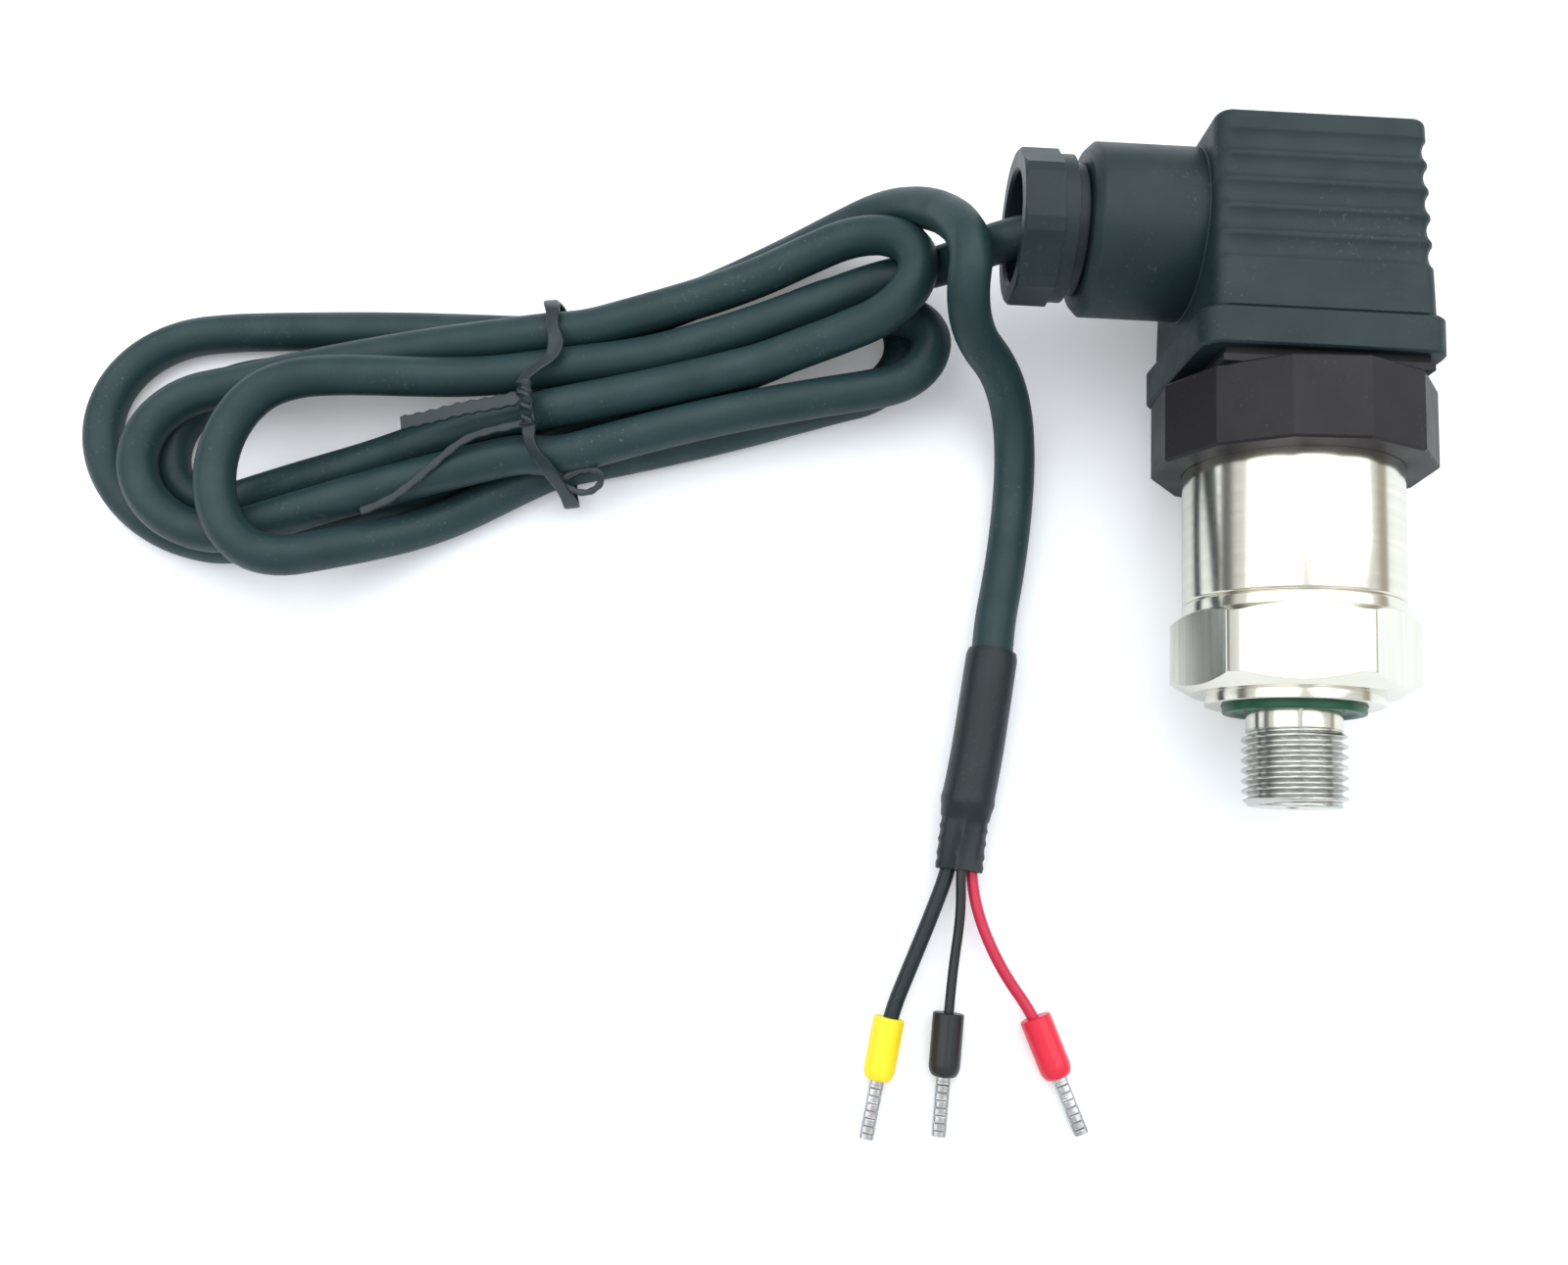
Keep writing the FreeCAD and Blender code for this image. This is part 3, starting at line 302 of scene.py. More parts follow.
class Canvas:
    """Adds nodes to one node tree and ties them together."""

    def __init__(self, tree: bpy.types.NodeTree) -> None:
        """Keeps the tree that the nodes go to."""
        self.tree = tree

    def fill(self, node: bpy.types.Node, values: dict) -> None:
        """Gives a node's inputs a number, a vector or another node's output."""
        for key, value in values.items():
            if isinstance(value, bpy.types.NodeSocket):
                self.tree.links.new(value, node.inputs[key])
            else:
                node.inputs[key].default_value = value

    def node(self, kind: str, values: dict | None = None, **settings: object) -> bpy.types.Node:
        """Adds one node.

        Args:
            kind: Type name without the ShaderNode prefix, or a group's end as it is.
            values: Input names with a number, a vector or an output socket.
            settings: Properties of the node, set before its inputs.

        Returns:
            The node.
        """
        made = self.tree.nodes.new(kind if kind.startswith("NodeGroup") else "ShaderNode" + kind)
        for key, value in settings.items():
            setattr(made, key, value)
        self.fill(made, values or {})
        return made

    def noise(self, place: bpy.types.NodeSocket, scale: float | bpy.types.NodeSocket,
              detail: float, roughness: float = 0.5) -> bpy.types.NodeSocket:
        """Adds a noise texture and returns its value."""
        made = self.node("TexNoise", {"Vector": place, "Scale": scale, "Detail": detail,
                                      "Roughness": roughness})
        return made.outputs["Fac"]

    def product(self, first: bpy.types.NodeSocket,
                second: float | bpy.types.NodeSocket) -> bpy.types.NodeSocket:
        """Multiplies two numbers and returns the product."""
        return self.node("Math", {0: first, 1: second}, operation="MULTIPLY").outputs[0]

    def blend(self, share: bpy.types.NodeSocket, first: object, second: object) -> bpy.types.NodeSocket:
        """Mixes two colours by a share and returns the mixed colour."""
        mix = self.node("Mix", {0: share, 6: first, 7: second}, data_type="RGBA")
        return mix.outputs[2]

    def span(self, value: bpy.types.NodeSocket, low: float, high: float,
             from_low: float = 0.0, from_high: float = 1.0) -> bpy.types.NodeSocket:
        """Spreads a value from one range to another and returns it."""
        made = self.node("MapRange", {"Value": value, "From Min": from_low, "From Max": from_high,
                                      "To Min": low, "To Max": high})
        return made.outputs["Result"]


def blank(owner: bpy.types.Material | bpy.types.World) -> Canvas:
    """Empties the node tree of a material or a world and returns its canvas."""
    owner.use_nodes = True
    owner.node_tree.nodes.clear()
    return Canvas(owner.node_tree)


def effect(name: str, inputs: dict[str, tuple[str, object]],
           outputs: dict[str, str]) -> tuple[bpy.types.NodeTree, Canvas, object, object]:
    """Starts a group that several finishes share.

    Args:
        name: The group's name.
        inputs: Input names with a socket type and a first value.
        outputs: Output names with a socket type.

    Returns:
        The group, its canvas, and its input and output nodes.
    """
    group = bpy.data.node_groups.new(name, "ShaderNodeTree")
    for label, (kind, value) in inputs.items():
        socket = group.interface.new_socket(name=label, in_out="INPUT", socket_type=kind)
        if value is not None:
            socket.default_value = value
    for label, kind in outputs.items():
        group.interface.new_socket(name=label, in_out="OUTPUT", socket_type=kind)
    canvas = Canvas(group)
    return group, canvas, canvas.node("NodeGroupInput").outputs, canvas.node("NodeGroupOutput")


FLOAT, VECTOR = "NodeSocketFloat", "NodeSocketVector"
SPECK = (150, 156, 160)
# Painted edge highlight: how far each channel of the base colour is raised along the edges.
EDGE_HIGHLIGHT_LIFT = 60


class Effects:
    """The groups that more than one finish uses, each built once.

    Lathe marks run round the instrument's axis, and cutter marks along it. Scales are in noise
    cells a metre, and a pair is the span of noise that goes from nothing to all.
    """

    round_axis: Triple = (0.02, 0.02, 1.0)
    along_axis: Triple = (1.0, 1.0, 0.04)
    fine_marks: float = 9000.0
    coarse_marks: float = 1300.0
    tone: tuple[float, float] = (0.3, 0.7)
    speck_scale: float = 1800.0
    speck_peaks: tuple[float, float] = (0.62, 0.78)
    patch_scale: float = 90.0
    patches: tuple[float, float] = (0.45, 0.7)

    def __init__(self) -> None:
        """Builds every group."""
        self.grain = self._grain()
        self.turning = self._stretched("turning_marks", self.round_axis)
        self.milling = self._stretched("milling_marks", self.along_axis)
        self.wear = self._wear()
        self.edges = self._edges()

    def _grain(self) -> bpy.types.NodeTree:
        """Fine moulded grain with a broad change of tone."""
        group, canvas, given, out = effect(
            "moulded_grain", {"Vector": (VECTOR, None), "Grain": (FLOAT, 5000.0),
                              "Broad": (FLOAT, 120.0)}, {"Height": FLOAT, "Tone": FLOAT})
        fine = canvas.noise(given["Vector"], given["Grain"], 2.0, 0.6)
        broad = canvas.noise(given["Vector"], given["Broad"], 4.0, 0.55)
        canvas.fill(out, {"Height": fine, "Tone": canvas.span(broad, 0.0, 1.0, *self.tone)})
        return group

    def _stretched(self, name: str, stretch: Triple) -> bpy.types.NodeTree:
        """Tool marks: noise drawn out by a stretch of each axis, fine lines over coarse ones."""
        group, canvas, given, out = effect(name, {"Vector": (VECTOR, None)},
                                           {"Height": FLOAT, "Tone": FLOAT})
        drawn = canvas.node("VectorMath", {0: given["Vector"], 1: stretch}, operation="MULTIPLY")
        fine = canvas.noise(drawn.outputs[0], self.fine_marks, 2.0, 0.6)
        coarse = canvas.noise(drawn.outputs[0], self.coarse_marks, 3.0)
        canvas.fill(out, {"Height": fine, "Tone": canvas.span(coarse, 0.0, 1.0, *self.tone)})
        return group

    def _wear(self) -> bpy.types.NodeTree:
        """Sparse handling specks: the peaks of a fine noise, gathered where a broad one is high."""
        group, canvas, given, out = effect(
            "handling_specks", {"Vector": (VECTOR, None), "Amount": (FLOAT, 0.3)}, {"Mask": FLOAT})
        fine = canvas.noise(given["Vector"], self.speck_scale, 3.0)
        broad = canvas.noise(given["Vector"], self.patch_scale, 2.0)
        peaks = canvas.span(fine, 0.0, 1.0, *self.speck_peaks)
        place = canvas.span(broad, 0.0, 1.0, *self.patches)
        canvas.fill(out, {"Mask": canvas.product(canvas.product(peaks, place), given["Amount"])})
        return group

    @staticmethod
    def _edges() -> bpy.types.NodeTree:
        """Small edge rounding, put out as a normal and as a mask of the edges themselves; the finishes
        paint an edge highlight by that mask.
        """
        group, canvas, given, out = effect("rounded_edges", {"Radius": (FLOAT, 0.0002)},
                                           {"Normal": VECTOR, "Mask": FLOAT})
        soft = canvas.node("Bevel", {"Radius": given["Radius"]}, samples=6).outputs[0]
        plain = canvas.node("NewGeometry").outputs["Normal"]
        like = canvas.node("VectorMath", {0: soft, 1: plain}, operation="DOT_PRODUCT")
        canvas.fill(out, {"Normal": soft,
                          "Mask": canvas.span(like.outputs["Value"], 1.0, 0.0, 0.8, 1.0)})
        return group


@dataclass(frozen=True)
class Finish:
    """One surface finish of the instrument or its cable.

    Attributes are display colours (0-255), shader values, the size and depth of the relief, and the share
    of painted highlight on the edges.
    """

    name: str
    base: tuple[int, int, int]
    second: tuple[int, int, int]
    roughness: float
    spread: float = 0.06
    metallic: float = 0.0
    specular: float = 0.5
    pattern: Pattern = Pattern.MOULDED
    grain: float = 5000.0
    broad: float = 120.0
    depth: float = 0.01
    specks: float = 0.0
    edge: float = 0.15
    painted_edge_highlight: float = 0.0

    def build(self, effects: Effects) -> bpy.types.Material:
        """Makes the material.

        Args:
            effects: The shared groups.

        Returns:
            A material whose colour, roughness and relief vary over the surface.
        """
        material = bpy.data.materials.new(self.name)
        canvas = blank(material)
        place = canvas.node("TexCoord").outputs["Object"]
        axis = canvas.node("Mapping", {"Vector": place, "Location": tuple(LIE.origin()),
                                       "Rotation": (LIE.tilt, 0.0, 0.0)}, vector_type="TEXTURE")
        if self.pattern in (Pattern.TURNED, Pattern.MILLED):
            tree = effects.turning if self.pattern is Pattern.TURNED else effects.milling
            marks = canvas.node("Group", {"Vector": axis.outputs[0]}, node_tree=tree)
        else:
            marks = canvas.node("Group", {"Vector": place, "Grain": self.grain,
                                          "Broad": self.broad}, node_tree=effects.grain)
        colour = canvas.blend(marks.outputs["Tone"], linear(*self.base), linear(*self.second))
        rough = canvas.span(marks.outputs["Tone"], self.roughness - self.spread,
                            self.roughness + self.spread)
        if self.specks:
            dust = canvas.node("Group", {"Vector": place, "Amount": self.specks},
                               node_tree=effects.wear)
            colour = canvas.blend(dust.outputs["Mask"], colour, linear(*SPECK))
        shade = {"Roughness": rough, "Metallic": self.metallic, "Specular IOR Level": self.specular}
        bump = {"Height": marks.outputs["Height"], "Strength": 0.6, "Distance": self.depth * MM}
        if self.edge:
            edges = canvas.node("Group", {"Radius": self.edge * MM}, node_tree=effects.edges)
            bump["Normal"] = edges.outputs["Normal"]
            # Painted highlight: the colour grows paler along the rounded edges, standing in for the sheen
            # that they catch.
            if self.painted_edge_highlight:
                lit = canvas.span(edges.outputs["Mask"], 0.0, self.painted_edge_highlight)
                highlight_colour = linear(*(min(255, part + EDGE_HIGHLIGHT_LIFT) for part in self.base))
                colour = canvas.blend(lit, colour, highlight_colour)
        shade["Base Color"] = colour
        shade["Normal"] = canvas.node("Bump", bump).outputs[0]
        shader = canvas.node("BsdfPrincipled", shade)
        canvas.node("OutputMaterial", {"Surface": shader.outputs[0]})
        return material


STEEL = Finish("turned_steel", (230, 227, 214), (219, 216, 203), 0.17, 0.02, metallic=1.0,
               pattern=Pattern.TURNED, depth=0.0012, edge=0.12)
HEX_STEEL = Finish("milled_steel", (232, 231, 219), (222, 220, 208), 0.22, 0.03, metallic=1.0,
                   pattern=Pattern.MILLED, depth=0.0015, edge=0.12)
# The thread's steel is painted darker than the turned steel: painted shade for the shade between its
# turns.
SHADED_THREAD_STEEL = Finish("thread_steel_painted_shade", (206, 207, 202), (180, 181, 176), 0.24, 0.04, metallic=1.0,
                      pattern=Pattern.TURNED, depth=0.002, edge=0.08)
GREEN_SEAL = Finish("green_rubber", (16, 88, 60), (12, 74, 50), 0.35, specular=0.4, edge=0.0)
PLUG = Finish("plug_moulding", (31, 49, 52), (25, 42, 45), 0.44, specular=0.3, grain=4200.0,
              depth=0.02, specks=0.2, edge=0.25, painted_edge_highlight=0.2)
BASE = Finish("base_moulding", (36, 34, 39), (30, 28, 33), 0.46, specular=0.28, grain=4200.0,
              depth=0.02, specks=0.15, edge=0.2, painted_edge_highlight=0.15)
NUT = Finish("nut_moulding", (31, 46, 50), (25, 39, 43), 0.42, specular=0.3, grain=4200.0,
             depth=0.02, specks=0.15, edge=0.2, painted_edge_highlight=0.25)
JACKET = Finish("cable_jacket", (36, 60, 63), (29, 52, 55), 0.46, specular=0.32, grain=3000.0,
                broad=160.0, depth=0.02, specks=0.25, edge=0.0)
SLEEVE = Finish("shrink_sleeve", (27, 38, 42), (21, 31, 35), 0.38, specular=0.35, grain=2600.0,
                depth=0.02, specks=0.15, edge=0.0)
TIE = Finish("tie_strip", (36, 50, 54), (28, 41, 45), 0.3, specular=0.4, grain=1500.0, depth=0.02,
             edge=0.0)
BLACK_WIRE = Finish("black_insulation", (26, 29, 31), (20, 22, 24), 0.3, edge=0.0)
RED_WIRE = Finish("red_insulation", (204, 30, 70), (188, 22, 60), 0.3, edge=0.0)
YELLOW_COLLAR = Finish("yellow_collar", (255, 232, 34), (248, 220, 24), 0.34, edge=0.1)
BLACK_COLLAR = Finish("black_collar", (30, 33, 35), (24, 26, 28), 0.32, edge=0.1)
RED_COLLAR = Finish("red_collar", (226, 34, 62), (210, 26, 50), 0.32, edge=0.1)
CRIMP = Finish("tinned_crimp", (205, 205, 206), (165, 165, 166), 0.22, metallic=1.0, grain=2400.0,
               depth=0.05, edge=0.08)
RUBBER = Finish("black_rubber", (24, 25, 26), (18, 19, 20), 0.6, specular=0.25, edge=0.0)
CERAMIC = Finish("sintered_ceramic", (234, 231, 222), (222, 218, 208), 0.5, edge=0.1)
BOARD = Finish("coated_laminate", (26, 98, 62), (20, 84, 52), 0.35, edge=0.0)
CHIP = Finish("chip_moulding", (36, 36, 38), (30, 30, 32), 0.5, edge=0.05)
BRASS = Finish("turned_brass", (214, 182, 110), (198, 164, 94), 0.28, metallic=1.0,
               pattern=Pattern.TURNED, depth=0.004, edge=0.1)
TINNED = Finish("tin_plating", (206, 204, 196), (190, 188, 180), 0.3, metallic=1.0, edge=0.08)
SCREW = Finish("zinc_plating", (204, 206, 210), (186, 188, 192), 0.28, metallic=1.0, edge=0.08)


class Wardrobe:
    """Builds each finish once and puts it on pieces."""

    def __init__(self) -> None:
        """Builds the shared effects."""
        self.effects = Effects()
        self.made: dict[str, bpy.types.Material] = {}

    def material(self, finish: Finish) -> bpy.types.Material:
        """Builds the finish the first time it is asked for."""
        if finish.name not in self.made:
            self.made[finish.name] = finish.build(self.effects)
        return self.made[finish.name]

    def dress(self, piece: bpy.types.Object, finish: Finish) -> None:
        """Gives a piece one finish in all its slots.

        Args:
            piece: A new piece or a CAD node.
            finish: The finish.
        """
        material = self.material(finish)
        if not piece.data.materials:
            piece.data.materials.append(material)
        for slot in piece.material_slots:
            slot.material = material
        LOG.info("%s: %s", piece.name, finish.name)

    def fit(self, piece: bpy.types.Object, finish: Finish, slot: str, *nodes: str) -> None:
        """Args:
            piece: A new piece of the transmitter.
            finish: Its finish.
            slot: The record's material slot; not used.
            nodes: The CAD nodes that it replaces.
        """
        self.dress(piece, finish)
        if nodes:
            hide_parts(*nodes)
        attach(piece, TRANSMITTER)

    def dress_part(self, piece: bpy.types.Object, finish: Finish, chosen: Array) -> None:
        """Gives some faces of a dressed piece another finish.

        Args:
            piece: A piece that already has its main finish.
            finish: The second finish.
            chosen: One truth value for each face.
        """
        piece.data.materials.append(self.material(finish))
        slots = np.zeros(len(chosen), np.int32)
        piece.data.polygons.foreach_get("material_index", slots)
        slots[chosen] = len(piece.data.materials) - 1
        piece.data.polygons.foreach_set("material_index", slots)


# ------------------------------------------------------------------ steel parts

@dataclass
class ProcessFitting:
    """Turned fitting: thread, neck, seal groove, collar, hexagon and welding shoulder (mm).

    Land is the share of half a pitch that stays flat at root and crest, and the two cones' numbers
    are rise over reach.
    """

    pitch: float = 1.337
    crest: float = 6.58
    root: float = 5.74
    land: float = 0.12
    lead_in: float = 0.1
    thread_top: float = 10.0
    run_out: float = 0.7
    run_out_end: float = 0.2
    neck: float = 6.0
    seal_wall: float = 9.05
    seal_seat: float = 14.0
    collar: float = 11.25
    across_flats: float = 14.0
    corner: float = 15.6
    hex_turn: float = math.radians(-12.0)
    foot: float = 14.4
    foot_radius: float = 13.1
    low_cone: float = 0.608
    high_cone: float = 0.58
    top: float = 24.52
    band: float = 14.05
    band_top: float = 26.14
    band_edge: float = 0.25
    spigot: float = 12.48
    spigot_top: float = 28.6
    cell_bore: float = 9.15
    cell_seat: float = 18.0
    ring_groove: float = 8.2
    hub: float = 5.6
    groove_floor: float = 16.6
    port: float = 2.0
    port_edge: float = 0.35
    flat_margin: tuple[float, float] = (0.8, 0.2)
    square_on: float = 0.1
    columns: int = 360

    def thread(self, angle: Array, height: Array) -> Array:
        """Radius of the thread: a rounded wave of the height in pitches less the turn, cut down by
        the lead-in cone at the tip and by the run-out to the neck."""
        phase = np.mod(height / self.pitch - angle / (2 * math.pi), 1.0)
        wave = smooth((np.abs(2.0 * phase - 1.0) - self.land) / (1.0 - 2.0 * self.land))
        radius = self.root + (self.crest - self.root) * wave
        radius = np.minimum(radius, self.root - self.lead_in + height)
        start = self.thread_top - self.run_out_end - self.run_out
        gone = np.clip((height - start) / self.run_out, 0.0, 1.0)
        return radius + (np.minimum(radius, self.neck) - radius) * gone

    def grid(self) -> Array:
        """Rows of (radius, height) round the whole section: thread, collar, hexagon with its
        cones, shoulder, then back down the bores. On the hexagon the radius is the flat's,
        a / cos of the angle from its middle, and each cone's row stands where cone meets flat."""
        angle = np.linspace(0.0, 2 * math.pi, self.columns, endpoint=False)
        one = np.ones_like(angle)
        off = np.mod(angle - self.hex_turn, math.pi / 3) - math.pi / 6
        flat = np.minimum(self.across_flats / np.cos(off), self.corner)
        low = self.foot + (flat - self.foot_radius) * self.low_cone
        high = np.minimum(self.top - (flat - self.band) * self.high_cone, self.top)
        heights = np.linspace(0.0, self.thread_top, 121)[:, None] * one
        screw = np.stack([self.thread(angle, heights), heights], axis=-1)
        inner = rounded(np.array([
            [self.spigot, self.band_top], [self.spigot, self.spigot_top],
            [self.cell_bore, self.spigot_top], [self.cell_bore, self.cell_seat],
            [self.ring_groove, self.cell_seat], [self.ring_groove, self.groove_floor],
            [self.hub, self.groove_floor], [self.hub, self.cell_seat], [self.port, self.cell_seat],
            [self.port, self.port_edge], [self.port + self.port_edge, 0.0]]), 0.1, 3, closed=False)
        neck = rounded(np.array([
            [self.neck, self.thread_top], [self.neck, self.seal_seat],
            [self.seal_wall, self.seal_seat], [self.seal_wall, LIE.face_level],
            [self.collar, LIE.face_level], [self.collar, self.foot]]), 0.18, 4, closed=False)
        band = rounded(np.array([[self.band, self.top], [self.band, self.band_top - self.band_edge],
                                 [self.band - self.band_edge, self.band_top]]), 0.05, 3, closed=False)
        plain = [profile[:, None] * np.ones((1, self.columns, 1)) for profile in (neck, band, inner)]
        hexagon = np.stack([np.stack([self.foot_radius * one, self.foot * one], axis=-1),
                            np.stack([flat, low], axis=-1), np.stack([flat, high], axis=-1)])
        rows = np.concatenate([screw, plain[0], hexagon, plain[1], plain[2]])
        return np.stack([rows[..., 0] * np.cos(angle), rows[..., 0] * np.sin(angle),
                         rows[..., 1]], axis=-1)

    def build(self, wardrobe: Wardrobe) -> None:
        """Makes the fitting, with milled flats between turned faces."""
        piece = mesh_piece("fitting_dressed", LIE.place(self.grid()), wrap_rows=True)
        wardrobe.fit(piece, STEEL, "steel", "process_fitting")
        flat, screw = self.faces_of(piece)
        wardrobe.dress_part(piece, HEX_STEEL, flat)
        # Painted shade: the thread's faces get the darker steel.
        wardrobe.dress_part(piece, SHADED_THREAD_STEEL, screw)

    def faces_of(self, piece: bpy.types.Object) -> tuple[Array, Array]:
        """Finds the hexagon's flats, whose normal is square to the axis between the cones, and the
        thread, whose centre lies below the run-out and outside the port.

        Args:
            piece: The finished fitting.

        Returns:
            One truth value for each face, first for the flats and then for the thread.
        """
        count = len(piece.data.polygons)
        normal, centre = np.zeros(count * 3), np.zeros(count * 3)
        piece.data.polygons.foreach_get("normal", normal)
        piece.data.polygons.foreach_get("center", centre)
        axis = LIE.place(np.array([0.0, 0.0, 1.0])) - LIE.place(np.zeros(3))
        axis /= np.linalg.norm(axis)
        arm = centre.reshape(-1, 3) - LIE.origin()
        level = arm @ axis / MM
        radius = np.linalg.norm(arm - (arm @ axis)[:, None] * axis, axis=1) / MM
        square = np.abs(normal.reshape(-1, 3) @ axis) < self.square_on
        below, above = self.flat_margin
        flat = square & (level > self.foot + below) & (level < self.top - above)
        return flat, (level < self.thread_top) & (radius > self.root - 1.0)


@dataclass
class Housing:
    """Round steel tube with its edges broken at foot and top (mm)."""

    radius: float = 14.07
    bore: float = 12.5
    foot: float = 26.14
    top: float = 50.0
    edge: float = 0.3

    def build(self, wardrobe: Wardrobe) -> None:
        """Makes the tube from its turned profile."""
        profile = rounded(np.array([
            [self.bore, self.foot], [self.radius - self.edge, self.foot],
            [self.radius, self.foot + self.edge], [self.radius, self.top - self.edge],
            [self.radius - self.edge, self.top], [self.bore, self.top]]), 0.12)
        piece = mesh_piece("housing_dressed", LIE.place(turned(profile, 240)), wrap_rows=True)
        wardrobe.fit(piece, STEEL, "steel", "housing_tube")


@dataclass
class SealRing:
    """Green profiled ring under the collar (mm)."""

    inner: float = 6.1
    outer: float = 8.98
    foot: float = 12.0
    top: float = 13.98
    web: float = 7.4
    web_foot: float = 12.45
    inner_foot: float = 12.5
    lip: float = 8.0

    def build(self, wardrobe: Wardrobe) -> None:
        """Makes the ring from a section with a raised lip at its outer edge."""
        profile = rounded(np.array([
            [self.inner, self.inner_foot], [self.web, self.web_foot], [self.lip, self.foot],
            [self.outer, self.foot], [self.outer, self.top], [self.inner, self.top]]), 0.3, 5)
        piece = mesh_piece("seal_dressed", LIE.place(turned(profile)), wrap_rows=True)
        wardrobe.fit(piece, GREEN_SEAL, "green_seal", "seal_ring")


# ------------------------------------------------------------------ plug

CORNER_POINTS = 9
SIDE_POINTS = 20


@dataclass
class Plug:
    """Square plug cover: flange, drafted body with grip grooves, screw boss, cable barrel (mm)."""

    left: float = 14.7
    right: float = 14.0
    half: float = 14.4
    foot: float = 61.89
    top: float = 88.8
    draft: float = math.tan(math.radians(1.3))
    corner: float = 2.2
    rim: float = 1.1
    flange_left: float = 16.2
    flange_right: float = 15.4
    flange_half: float = 14.5
    flange_corner: float = 3.0
    flange_low_edge: float = 0.3
    flange_top_edge: float = 0.4
    gasket_level: float = 56.77
    cavity: float = 11.9
    cavity_corner: float = 0.3
    ceiling: float = 85.6
    boss: float = 5.4
    boss_foot: float = 82.6
    recess: float = 3.9
    recess_edge: float = 0.2
    recess_floor: float = 84.8
    hole: float = 1.7
    groove_first: float = 69.8
    groove_pitch: float = 3.63
    groove_count: int = 5
    groove_half: float = 1.6
    groove_depth: float = 0.66
    groove_soft: float = 0.35
    barrel_level: float = 77.2
    barrel_radius: float = 11.6
    barrel_root: float = 12.4
    barrel_reach: float = 29.0
    barrel_edge: float = 1.1
    barrel_bore: float = 8.0
    barrel_seat: float = 19.0
    barrel_way: float = 5.0
    turn: float = math.radians(4.6026)
    wall_rows: int = 170
    rim_rows: int = 6

    @staticmethod
    def outline(left: Array, right: Array, half: Array, corner: Array) -> tuple[Array, Array]:
        """Rounded rectangles: four quarter circles, joined by sides whose points each lie a share
        of the way from one quarter's end to the next one's start.

        Args:
            left: Reach to -X of each rectangle, of shape (n,).
            right: Reach to +X, as left.
            half: Reach to each side, as left.
            corner: Corner radius, as left.

        Returns:
            Points and outward directions, each of shape (n, columns, 2).
        """
        left, right, half, corner = (size[:, None] for size in (left, right, half, corner))
        quarter = np.repeat(np.arange(4), CORNER_POINTS)
        angle = (quarter + np.tile(np.linspace(0.0, 1.0, CORNER_POINTS), 4)) * math.pi / 2
        cos, sin = np.cos(angle) * np.ones_like(left), np.sin(angle) * np.ones_like(left)
        x = np.where(np.isin(quarter, (0, 3)), right - corner, corner - left) + corner * cos
        y = np.where(quarter < 2, half - corner, corner - half) + corner * sin
        step = np.concatenate([np.arange(CORNER_POINTS), CORNER_POINTS - 1
                               + np.arange(1, SIDE_POINTS + 1) / (SIDE_POINTS + 1.0)])
        place = (CORNER_POINTS * np.arange(4)[:, None] + step).ravel()
        low = np.floor(place).astype(int)
        share = (place - low)[:, None]
        both = np.stack([x, y, cos, sin], axis=-1)
        both = both[:, low] * (1.0 - share) + both[:, (low + 1) % len(quarter)] * share
        return both[..., :2], both[..., 2:]

    def wall(self) -> Array:
        """Outer wall and rim: the drafted outline, drawn in at each groove by its depth times
        1 - (distance / half width) squared, shallower on the two broad faces and not at all on
        the barrel's side, then a quarter-round rim."""
        level = np.linspace(self.foot, self.top - self.rim, self.wall_rows)
        inset = (level - self.foot) * self.draft
        bend = np.linspace(0.0, math.pi / 2, self.rim_rows + 1)[1:]
        drawn = np.concatenate([0.0 * level, self.rim * (1.0 - np.cos(bend))])
        height = np.concatenate([level, self.top - self.rim + self.rim * np.sin(bend)])
        inset = np.concatenate([inset, 0.0 * bend + inset[-1]]) + drawn
        points, outward = self.outline(self.left - inset, self.right - inset, self.half - inset,
                                       self.corner - drawn)
        middles = self.groove_first + self.groove_pitch * np.arange(self.groove_count)
        apart = np.abs(height[:, None] - middles).min(axis=1) / self.groove_half
        depth = self.groove_depth * np.clip(1.0 - apart ** 2, 0.0, 1.0)[:, None]
        depth = depth * np.clip(1.0 + outward[..., 0], 0.0, 1.0) * (
            1.0 - self.groove_soft * np.abs(outward[..., 1]))
        points = points - depth[..., None] * outward
        return self._at(points, height)

    @staticmethod
    def _at(points: Array, height: Array) -> Array:
        """Gives each row of flat points its height."""
        tall = np.broadcast_to(np.asarray(height, float)[:, None, None], points.shape[:2] + (1,))
        return np.concatenate([points, tall], axis=-1)

    def body(self) -> Array:
        """Rows round the whole cover: cavity edge, flange, wall, top, recess, screw hole, boss,
        ceiling, and back to the cavity edge."""
        wall = self.wall()
        inset = np.array([self.flange_low_edge, 0.0, 0.0, self.flange_top_edge])
        flange, _ = self.outline(self.flange_left - inset, self.flange_right - inset,
                                 self.flange_half - inset, self.flange_corner - inset)
        flange_level = [self.gasket_level, self.gasket_level + self.flange_low_edge,
                        self.foot - self.flange_top_edge, self.foot]
        square = np.full(2, self.cavity)
        cavity, _ = self.outline(square, square, square, np.full(2, self.cavity_corner))
        direction = np.arctan2(wall[0, :, 1], wall[0, :, 0])
        unit = np.stack([np.cos(direction), np.sin(direction)], axis=-1)
        rounds = np.array([
            [self.recess + self.recess_edge, self.top], [self.recess, self.top - self.recess_edge],
            [self.recess, self.recess_floor], [self.hole, self.recess_floor],
            [self.hole, self.boss_foot], [self.boss, self.boss_foot], [self.boss, self.ceiling]])
        boss = self._at(rounds[:, :1, None] * unit, rounds[:, 1])
        return np.concatenate([self._at(cavity[:1], [self.gasket_level]),
                               self._at(flange, flange_level), wall, boss,
                               self._at(cavity[1:], [self.ceiling])])

